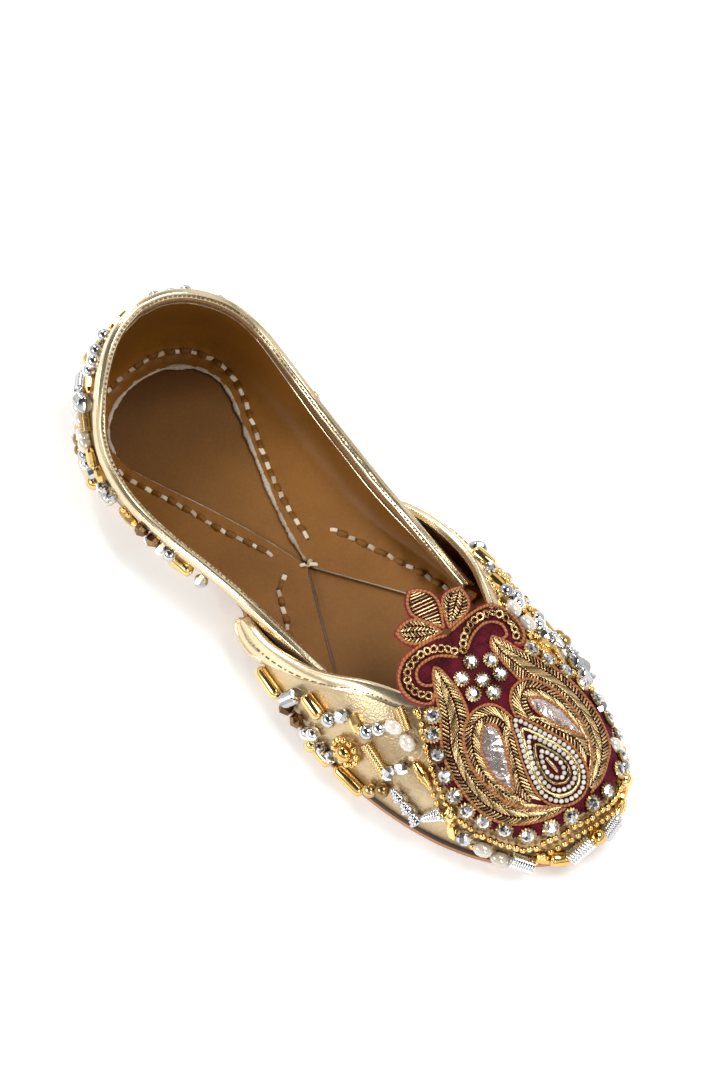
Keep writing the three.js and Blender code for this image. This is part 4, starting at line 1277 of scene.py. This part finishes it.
# A fixed cycle of five tones, one per length of coil: painted light and shade on the bullion.
tones = [((i * 7) % 5) / 4 for i in range(len(bars))]
spread("bullion_filling", coil, bars, bullion, tones)

# %% Rings on the scrolls
around = np.linspace(0, 2 * math.pi, 6)[:-1]
ring = turned([(0.5 * math.sin(a), 1.0 + 0.42 * math.cos(a)) for a in around], 12, "Z", closed=True)
spots = []
for i, (x, y) in enumerate([*trace(RING_ROW[1], 2.25), *trace(RING_ROW[-1], 2.25)]):
    p, n = on_badge(x, y, 0.5)
    tip = unit(n + 0.45 * np.array([math.sin(i * 2.1), math.cos(i * 1.7), 0]))
    spots.append(place(p, (1, 0, 0), tip, (1.2,) * 3))
spread("scroll_rings", ring, spots, antique_gold)

# %% Seed beads of the drop
seeds = metal("ivory seed beads", (0.52, 0.48, 0.40), (0.74, 0.70, 0.61), 0.22, 0.0, 0.2, 0.03,
              Coat_Weight=0.5)
SEED_PITCH = 1.72
spots = []
for line in (DROP, DROP_MIDDLE, DROP_CORE):
    path = trace(line, SEED_PITCH, True)[:-1]
    for (x, y), way in zip(path, np.gradient(path, axis=0)):
        p, n = on_badge(x, y, 0.75)
        spots.append(place(p, (*way, 0), n))
spread("seed_beads", turned(round_profile(1.7, 1.65, 3), 8), spots, seeds)

def shared_stations(line, count=40):
    """The same number of places round any closed line, so two lines can be averaged."""
    path = trace(line, 1, True)[:-1]
    at, own = (np.linspace(0, 1, n, endpoint=False) for n in (count, len(path)))
    return np.stack([np.interp(at, own, path[:, k]) for k in (0, 1)], 1)

drop, drop_middle, drop_core = (shared_stations(line) for line in (DROP, DROP_MIDDLE, DROP_CORE))
spacers = [trace(a * 0.5 + b * 0.5, STEP, True) for a, b in ((drop, drop_middle), (drop_middle, drop_core))]
spacers.append(trace([(93.5, 0), (99.5, -0.1)]))
sweep("drop_bullion", [laid(path, 0.4) for path in spacers], 0.72, bullion, 7, 1.0, 0.25)

# %% [markdown]
# Each foil-backed crystal sits in a pressed metal cup with a saw-tooth rim. The cup and the
# stone are turned on a lathe with few sides and left flat, so every facet catches one light.

# %% Crystals in saw-tooth settings
def crystal_finish():
    material, tree, shader = start("foiled crystal", 0.75, 0.06, Coat_Weight=1.0, Coat_Roughness=0.03)
    facets = add(tree, "ShaderNodeTexVoronoi", Vector=object_place(tree), Scale=1100.0)
    # Each small cell of the stone is painted a grey from near black to white: painted reflection standing
    # in for the facets' glints.
    painted_glint_cells = add(tree, "ShaderNodeSeparateXYZ", Vector=facets.outputs["Color"]).outputs[0]
    glint_greys = ((0.2, (0.06, 0.055, 0.05)), (0.45, (0.50, 0.48, 0.46)), (0.8, (0.95, 0.94, 0.93)))
    colour(tree, shader, ramp(tree, painted_glint_cells, *glint_greys))
    bump(tree, shader, painted_glint_cells, 0.8, 0.45)
    return material

crystal_glass = crystal_finish()
BORDER_SIZE, FLOWER_SIZE = 1.32, 1.2
spots = []
for i, (x, y) in enumerate(BORDER + FLOWER):
    p, n = on_badge(x, y, 0.25)
    size = BORDER_SIZE if i < len(BORDER) else FLOWER_SIZE
    spots.append(place(p, (math.cos(i * 1.9), math.sin(i * 1.9), 0), n, (size,) * 3))

def saw_setting():
    profile = [(0.0, 1.55), (0.75, 1.75), (1.05, 1.65), (0.6, 2.25), (0.1, 2.2)]
    model = turned(profile, 32, "Z", flat=True, closed=True)
    co = corners(model)
    angle, r = np.arctan2(co[:, 1], co[:, 0]), np.hypot(co[:, 0], co[:, 1])
    tooth = 1 + 0.09 * np.cos(angle * 16) * (r > 1.9 * MM)
    co[:, :2] *= tooth[:, None]
    model.data.vertices.foreach_set("co", co.ravel())
    return model

claw_gold = metal("claw gold", (0.10, 0.055, 0.018), (0.62, 0.44, 0.20), 0.28)
spread("crystal_settings", saw_setting(), spots, claw_gold)
stone = [(1.62, 0), (1.62, 0.85), (1.0, 1.7), (0.5, 1.68)]
spread("crystals", turned(stone, 8, "Z", flat=True), spots, crystal_glass)

# %% Row of small gold beads round the badge
edge = outwards(BORDER, 3.2)
loop = trace([(54.8, -21.6), (57.4, -21.6), *edge[1:-1], (60.6, 24.4), (57.2, 26.2)], 2.2)
small = []
for k, (x, y) in enumerate(loop):
    jig = [luck.uniform(-.25, .25) for _ in range(2)]
    p, n = on_badge(x + jig[0], y + jig[1], -0.7)
    small.append(place(p, (1, 0, 0), n, (1.08,) * 3 if k % 5 else (1.25,) * 3))
second = loop[len(loop) // 7:-len(loop) // 7]
for x, y in second:
    d = np.array([x - 84, y]) / np.hypot(x - 84, y)
    p, n = on_badge(x + d[0] * 2.2, y + d[1] * 2.2, -0.9)
    small.append(place(p, (1, 0, 0), n, (1.05,) * 3))
spread("small_gold_beads", turned(round_profile(2.2, 2.2, 4), 10), small, bright_gold)

# %% Crumpled foil in the paisleys
def foil_strip(name, edges, material):
    top, low = (trace(e, 0.7) for e in edges)
    count, across = 22, 4
    verts, faces = [], []
    chance = np.random.default_rng(5)
    for i in range(count + 1):
        s = i / count
        p, q = part_way(top, s), part_way(low, s)
        for j in range(across + 1):
            w = 0.06 + 0.88 * j / across
            above = 0.35 + 0.55 * math.sin(math.pi * w) + 0.34 * chance.random()
            verts.append(tuple(on_badge(*(p + (q - p) * w), above)[0]))
    for i in range(count):
        for j in range(across):
            a = i * (across + 1) + j
            faces.append((a, a + 1, a + across + 2, a + across + 1))
    mesh = bpy.data.meshes.new(name)
    mesh.from_pydata(verts, [], faces)
    mesh.materials.append(material)
    piece = bpy.data.objects.new(name, mesh)
    bpy.context.scene.collection.objects.link(piece)
    if sum(p.normal.z for p in mesh.polygons) < 0:
        mesh.flip_normals()
    skin_wall = piece.modifiers.new("wall", "SOLIDIFY")
    skin_wall.thickness, skin_wall.offset = 0.25 * MM, -1
    pick(piece)
    bpy.ops.object.modifier_apply(modifier="wall")
    finish_new(piece, "foil,")

foil = metal("mirror foil", (0.42, 0.30, 0.27), (0.95, 0.84, 0.80), 0.15, 0.8, 1.1, 0.35)
foil_strip("foil_far", FOILS[1], foil)
foil_strip("foil_near", FOILS[-1], foil)

# %% [markdown]
# ## Beads on the walls
# The gold leather is strewn with beads of many kinds: gilt capsules, silver balls, ribbed
# tubes, pearls and faceted glass. Each kind is turned once on a lathe and copied. A bead's
# place is given by its station round the shoe, its height up the wall in millimetres, its
# turn from level in degrees, and its length.

# %% Bead shapes
def ribbed(length, width, ribs, tip=1.0):
    """Half outline of a ribbed tube. Its far end is tip times as wide as its near end."""
    half = [(-length / 2, 0)]
    for k in range(ribs):
        at, wide = -length / 2 + length * k / ribs, width / 2 * (1 + (tip - 1) * k / ribs)
        half += [(at, wide * 0.66), (at + length * 0.25 / ribs, wide), (at + length * 0.75 / ribs, wide)]
    return half + [(length / 2, width / 2 * tip * 0.8), (length / 2, 0)]

pearl = metal("pearl", (0.58, 0.52, 0.42), (0.84, 0.79, 0.69), 0.16, 0.25, 0.3, 0.05,
              Coat_Weight=1.0, Coat_Roughness=0.06)
CONES = [(-6.5, 0)]
for foot, wide in ((-6.4, 2.5), (-2.1, 2.3), (2.1, 2.1)):
    for k in range(4):
        at, r = foot + k, wide - k * 0.42
        CONES += [(at, r - 0.3), (at + 0.2, r), (at + 0.7, r)]
CONES.append((6.5, 0))
spindle = []
for k in range(11):
    notch = 1 if k % 2 else .8
    spindle.append((4.6 - k * .92, (.8 + 1.2 * math.sin(math.pi * k / 10)) * notch))
# Each kind holds its profile, its count of sides, whether its faces are flat, its finish, how
# far its middle stands off the leather, and its length.
BEADS = {
    "capsule": (round_profile(12.5, 4.4, 5), 14, False, bright_gold, 2.0, 12.5),
    "ribbed": (ribbed(10.6, 5.0, 9), 16, False, silver, 2.4, 10.6),
    "bugle": ([(5, 0), (4.8, .8), (3.4, 1.35), (0, 1.6), (-3.4, 1.35), (-4.8, .8), (-5, 0)],
              8, True, bright_gold, 1.4, 10),
    "silver": (round_profile(4.7, 4.7, 5), 14, False, silver, 2.2, 4.7),
    "gold": (round_profile(5.2, 5.2, 5), 14, False, bright_gold, 2.4, 5.2),
    "bronze": (round_profile(4.6, 4.6, 5), 14, False, antique_gold, 2.1, 4.6),
    "pearl": ([(3, 0), (2.7, 1.1), (1.7, 2.0), (0.2, 2.3), (-1.4, 2.1), (-2.6, 1.2), (-3, 0)],
              12, False, pearl, 2.1, 6),
    "facet": ([(2.4, 0), (1.9, 1.3), (0.7, 2.3), (-0.7, 2.3), (-1.9, 1.3), (-2.4, 0)],
              8, True, silver, 2.2, 4.8),
    "brown": ([(2.4, 0), (1.6, 1.8), (0, 2.5), (-1.6, 1.8), (-2.4, 0)], 6, True, bronze, 2.2, 4.8),
    "crystal": ([(2.1, 0), (1.4, 1.5), (0, 2.2), (-1.4, 1.5), (-2.1, 0)],
                8, True, crystal_glass, 1.9, 4.2),
    "cones": (CONES, 12, False, silver, 1.9, 13),
    "ribcone": (ribbed(8.7, 5.2, 7, 0.35), 14, False, silver, 2.1, 8.7),
    "spindle": ([(5, 0), *spindle, (-5, 0)], 12, False, bright_gold, 1.7, 10),
    "leaf": (ribbed(12, 3.8, 14), 10, False, antique_gold, 1.2, 12),
    "seed": (round_profile(2.2, 2.2, 4), 10, False, bright_gold, 1.0, 2.2),
}

# %% Where each bead is sewn
NEAR = [("capsule", 1.734, 9.5, 2, 12.5), ("ribbed", 1.832, 18.2, 68, 8.2),
        ("brown", 1.821, 9.4, 20, 4.8), ("brown", 1.868, 9.8, 60, 4.8),
        ("capsule", 1.902, 23.2, -8, 9.5), ("silver", 1.912, 9, 0, 4.6), ("silver", 1.936, 13, 0, 4.6),
        ("silver", 1.964, 24.5, 0, 5), ("facet", 1.990, 29, 10, 5), ("bugle", 2.035, 29.6, -25, 7),
        ("silver", 2.081, 30.1, 0, 4.8), ("silver", 2.113, 32.6, 0, 4.8),
        ("pearl", 2.162, 34.6, 20, 6), ("pearl", 2.231, 32.7, -20, 6), ("gold", 1.938, 5.5, 0, 4.6),
        ("capsule", 1.985, 5.5, 0, 7), ("crystal", 2.007, 9.5, 0, 4.4), ("crystal", 1.968, 9, 30, 4.2),
        ("capsule", 2.076, 6.2, -8, 12.8), ("bronze", 2.146, 11.2, 0, 4.6),
        ("bronze", 2.183, 15.5, 0, 4.6), ("leaf", 2.137, 23.6, -22, 12.7),
        ("leaf", 2.185, 36.8, -30, 8), ("facet", 2.191, 23, 0, 4.8), ("facet", 2.232, 26.8, 30, 5.2),
        ("cones", 2.257, 15.1, 149, 14.6), ("ribcone", 2.351, 17.1, 231, 8.7),
        ("spindle", 2.305, 27.4, -29, 10.5), ("spindle", 2.41, 19.6, -71, 6.5),
        ("bugle", 2.415, 14.2, -71, 7), ("facet", 2.459, 13.7, 20, 5.2),
        ("pearl", 2.520, 10.9, -10, 6.2), ("pearl", 2.578, 7.6, -20, 6.2),
        ("ribbed", 2.654, 7.3, -30, 8), ("bugle", 2.735, 8, -26, 8), ("capsule", 2.80, 7.2, -20, 7),
        ("ribbed", 2.896, 9.2, 31, 9.4), ("gold", 2.985, 10.6, 0, 5.6)]
FAR = [("capsule", 1.90, 30.8, -4, 9), ("crystal", 1.940, 33.7, 0, 4), ("bugle", 1.982, 35.0, -7, 7),
       ("silver", 2.033, 36.0, 0, 4.8), ("silver", 2.058, 33.2, 0, 4.6), ("bugle", 2.07, 37.5, -10, 6),
       ("silver", 2.09, 34.6, 0, 4.6), ("pearl", 2.111, 36.9, 10, 6), ("pearl", 2.181, 34.8, -20, 6),
       ("silver", 2.146, 29.4, 0, 4.6), ("silver", 2.178, 31, 0, 4.6), ("facet", 2.215, 30.1, 0, 4.8),
       ("ribcone", 2.236, 27.1, -60, 6), ("bugle", 2.265, 31.0, -47, 9),
       ("ribbed", 2.300, 21.7, -80, 9), ("ribcone", 2.343, 20.8, -77, 9), ("bugle", 2.39, 25, -60, 8),
       ("pearl", 2.42, 18, -60, 6), ("facet", 2.46, 20, 0, 4.8), ("bugle", 2.50, 17, -70, 8),
       ("pearl", 2.55, 15, -30, 6), ("pearl", 2.60, 17, -60, 6), ("silver", 2.655, 13, 0, 4.7),
       ("gold", 2.71, 12, 0, 4.8), ("bugle", 2.74, 9, 20, 8), ("spindle", 2.83, 9.5, 10, 10),
       ("silver", 2.89, 9, 0, 4.6), ("ribbed", 2.945, 9.5, -10, 7)]
HEEL = [("bugle", .06, 50, 0, 9), ("capsule", .16, 44, 60, 8), ("silver", .22, 50, 0, 4.6),
        ("pearl", .30, 44, 30, 6), ("silver", .33, 49, 0, 4.6), ("silver", .426, 51, 0, 4.8),
        ("silver", .45, 46, 0, 4.4), ("bugle", .503, 45.6, 27, 11), ("ribbed", .600, 38.5, 70, 9),
        ("leaf", .56, 36, 60, 8), ("pearl", .660, 33, 30, 6), ("leaf", .70, 35, 10, 7),
        ("pearl", .747, 30.7, 10, 6), ("pearl", .80, 29.4, -20, 6), ("silver", .828, 24, 0, 4.6),
        ("silver", .855, 20, 0, 4.6), ("bugle", .90, 28, -20, 8), ("facet", .94, 22.5, 0, 4.8),
        ("bugle", 1.001, 27.0, -33, 6.5), ("crystal", 1.019, 21, 0, 4.4),
        ("crystal", 1.062, 21.7, 0, 4.4), ("seed", 1.102, 19, 0, 2.2), ("seed", 1.12, 18.4, 0, 2.2),
        ("brown", 1.186, 20.7, 10, 4.8), ("brown", 1.223, 18.5, 30, 4.8),
        ("silver", 1.285, 18.4, 0, 4.5), ("facet", 1.25, 16, 0, 4.6)]
LOW_HEEL = [("capsule", .10, 34, -20, 11), ("silver", .18, 28, 0, 4.6), ("gold", .26, 33, 0, 5),
            ("facet", .34, 29, 0, 4.8), ("ribbed", .44, 33, 40, 9), ("pearl", .52, 26, 0, 6),
            ("bugle", .62, 23, -30, 10), ("bronze", .70, 22, 0, 4.6), ("bronze", .73, 17, 0, 4.6),
            ("capsule", .16, 15, 15, 11), ("cones", .34, 17, -20, 13), ("silver", .46, 16, 0, 4.6),
            ("pearl", .56, 13, 20, 6), ("ribcone", .66, 11, -10, 8.7), ("capsule", .84, 12, -10, 11),
            ("gold", .93, 13, 0, 5), ("pearl", 1.02, 12, 10, 6), ("bugle", 1.10, 11, 25, 10),
            ("silver", 1.19, 11, 0, 4.6), ("capsule", 1.31, 12.5, 15, 10), ("facet", 1.38, 11, 0, 4.8)]
print("bead kinds:", len(BEADS), "beads:", len(NEAR) + len(FAR) + 2 * (len(HEEL) + len(LOW_HEEL)))

# %% Lay the beads
laid_beads = {kind: [] for kind in BEADS}
SHORT, SHORT_SWELL, LONG_SWELL, WIDE_SWELL = 7, 1.14, 1.06, 1.14

def strew(beads, side, wall):
    for kind, t, z, degrees, length in beads:
        high, full = BEADS[kind][-2:]
        point, along, rise, out = wall(side, t, z, high)
        way = along * math.cos(math.radians(degrees)) + rise * math.sin(math.radians(degrees))
        swell_by = SHORT_SWELL if full < SHORT else LONG_SWELL
        stretch = (length / full * swell_by, WIDE_SWELL, WIDE_SWELL)
        laid_beads[kind].append(place(point, way, out, stretch))

strew(NEAR, -1, on_vamp)
strew(FAR, 1, on_vamp)
strew([b for b in NEAR if b[2] < 19 and b[1] < 2.3], 1, on_vamp)
for side in (1, -1):
    strew(HEEL + LOW_HEEL, side, on_quarter)

# %% Small gold beads: the flower, its ring, and loops on the far wall
def ring_of(side, t, z, radius, count, squeeze=1.0):
    for k in range(count):
        a = 2 * math.pi * k / count
        point, along, rise, out = on_vamp(side, t, z, 1.7)
        spot = point + (along * radius * math.cos(a) + rise * radius * squeeze * math.sin(a)) * MM
        laid_beads["seed"].append(place(spot, along, out, (1.15,) * 3))

ring_of(-1, 2.044, 18.4, 5.0, 12)
strew([("gold", 2.044, 18.4, 0, 5.6)], -1, on_vamp)
for t, z, radius, count in ((2.04, 31.5, 4.0, 10), (2.125, 31.5, 3.6, 9), (1.96, 29.5, 3.4, 9)):
    ring_of(1, t, z, radius, count, 0.8)
for k in range(26):
    t = 1.97 + k * 0.0235
    upper = 38.2 - 0.45 * k if k > 8 else 37.6 + .06 * k
    strew([("seed", t, upper, 0, 2.2), ("seed", t, 35.4 - 0.5 * k, 0, 2.2)], 1, on_vamp)
for kind, (profile, sides, flat, finish, _, _) in BEADS.items():
    spread("beads_" + kind, turned(profile, sides, flat=flat), laid_beads[kind], finish)

# %% Size of the finished shoe
low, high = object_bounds()
print("finished size:", [round(v, 4) for v in (high - low)])
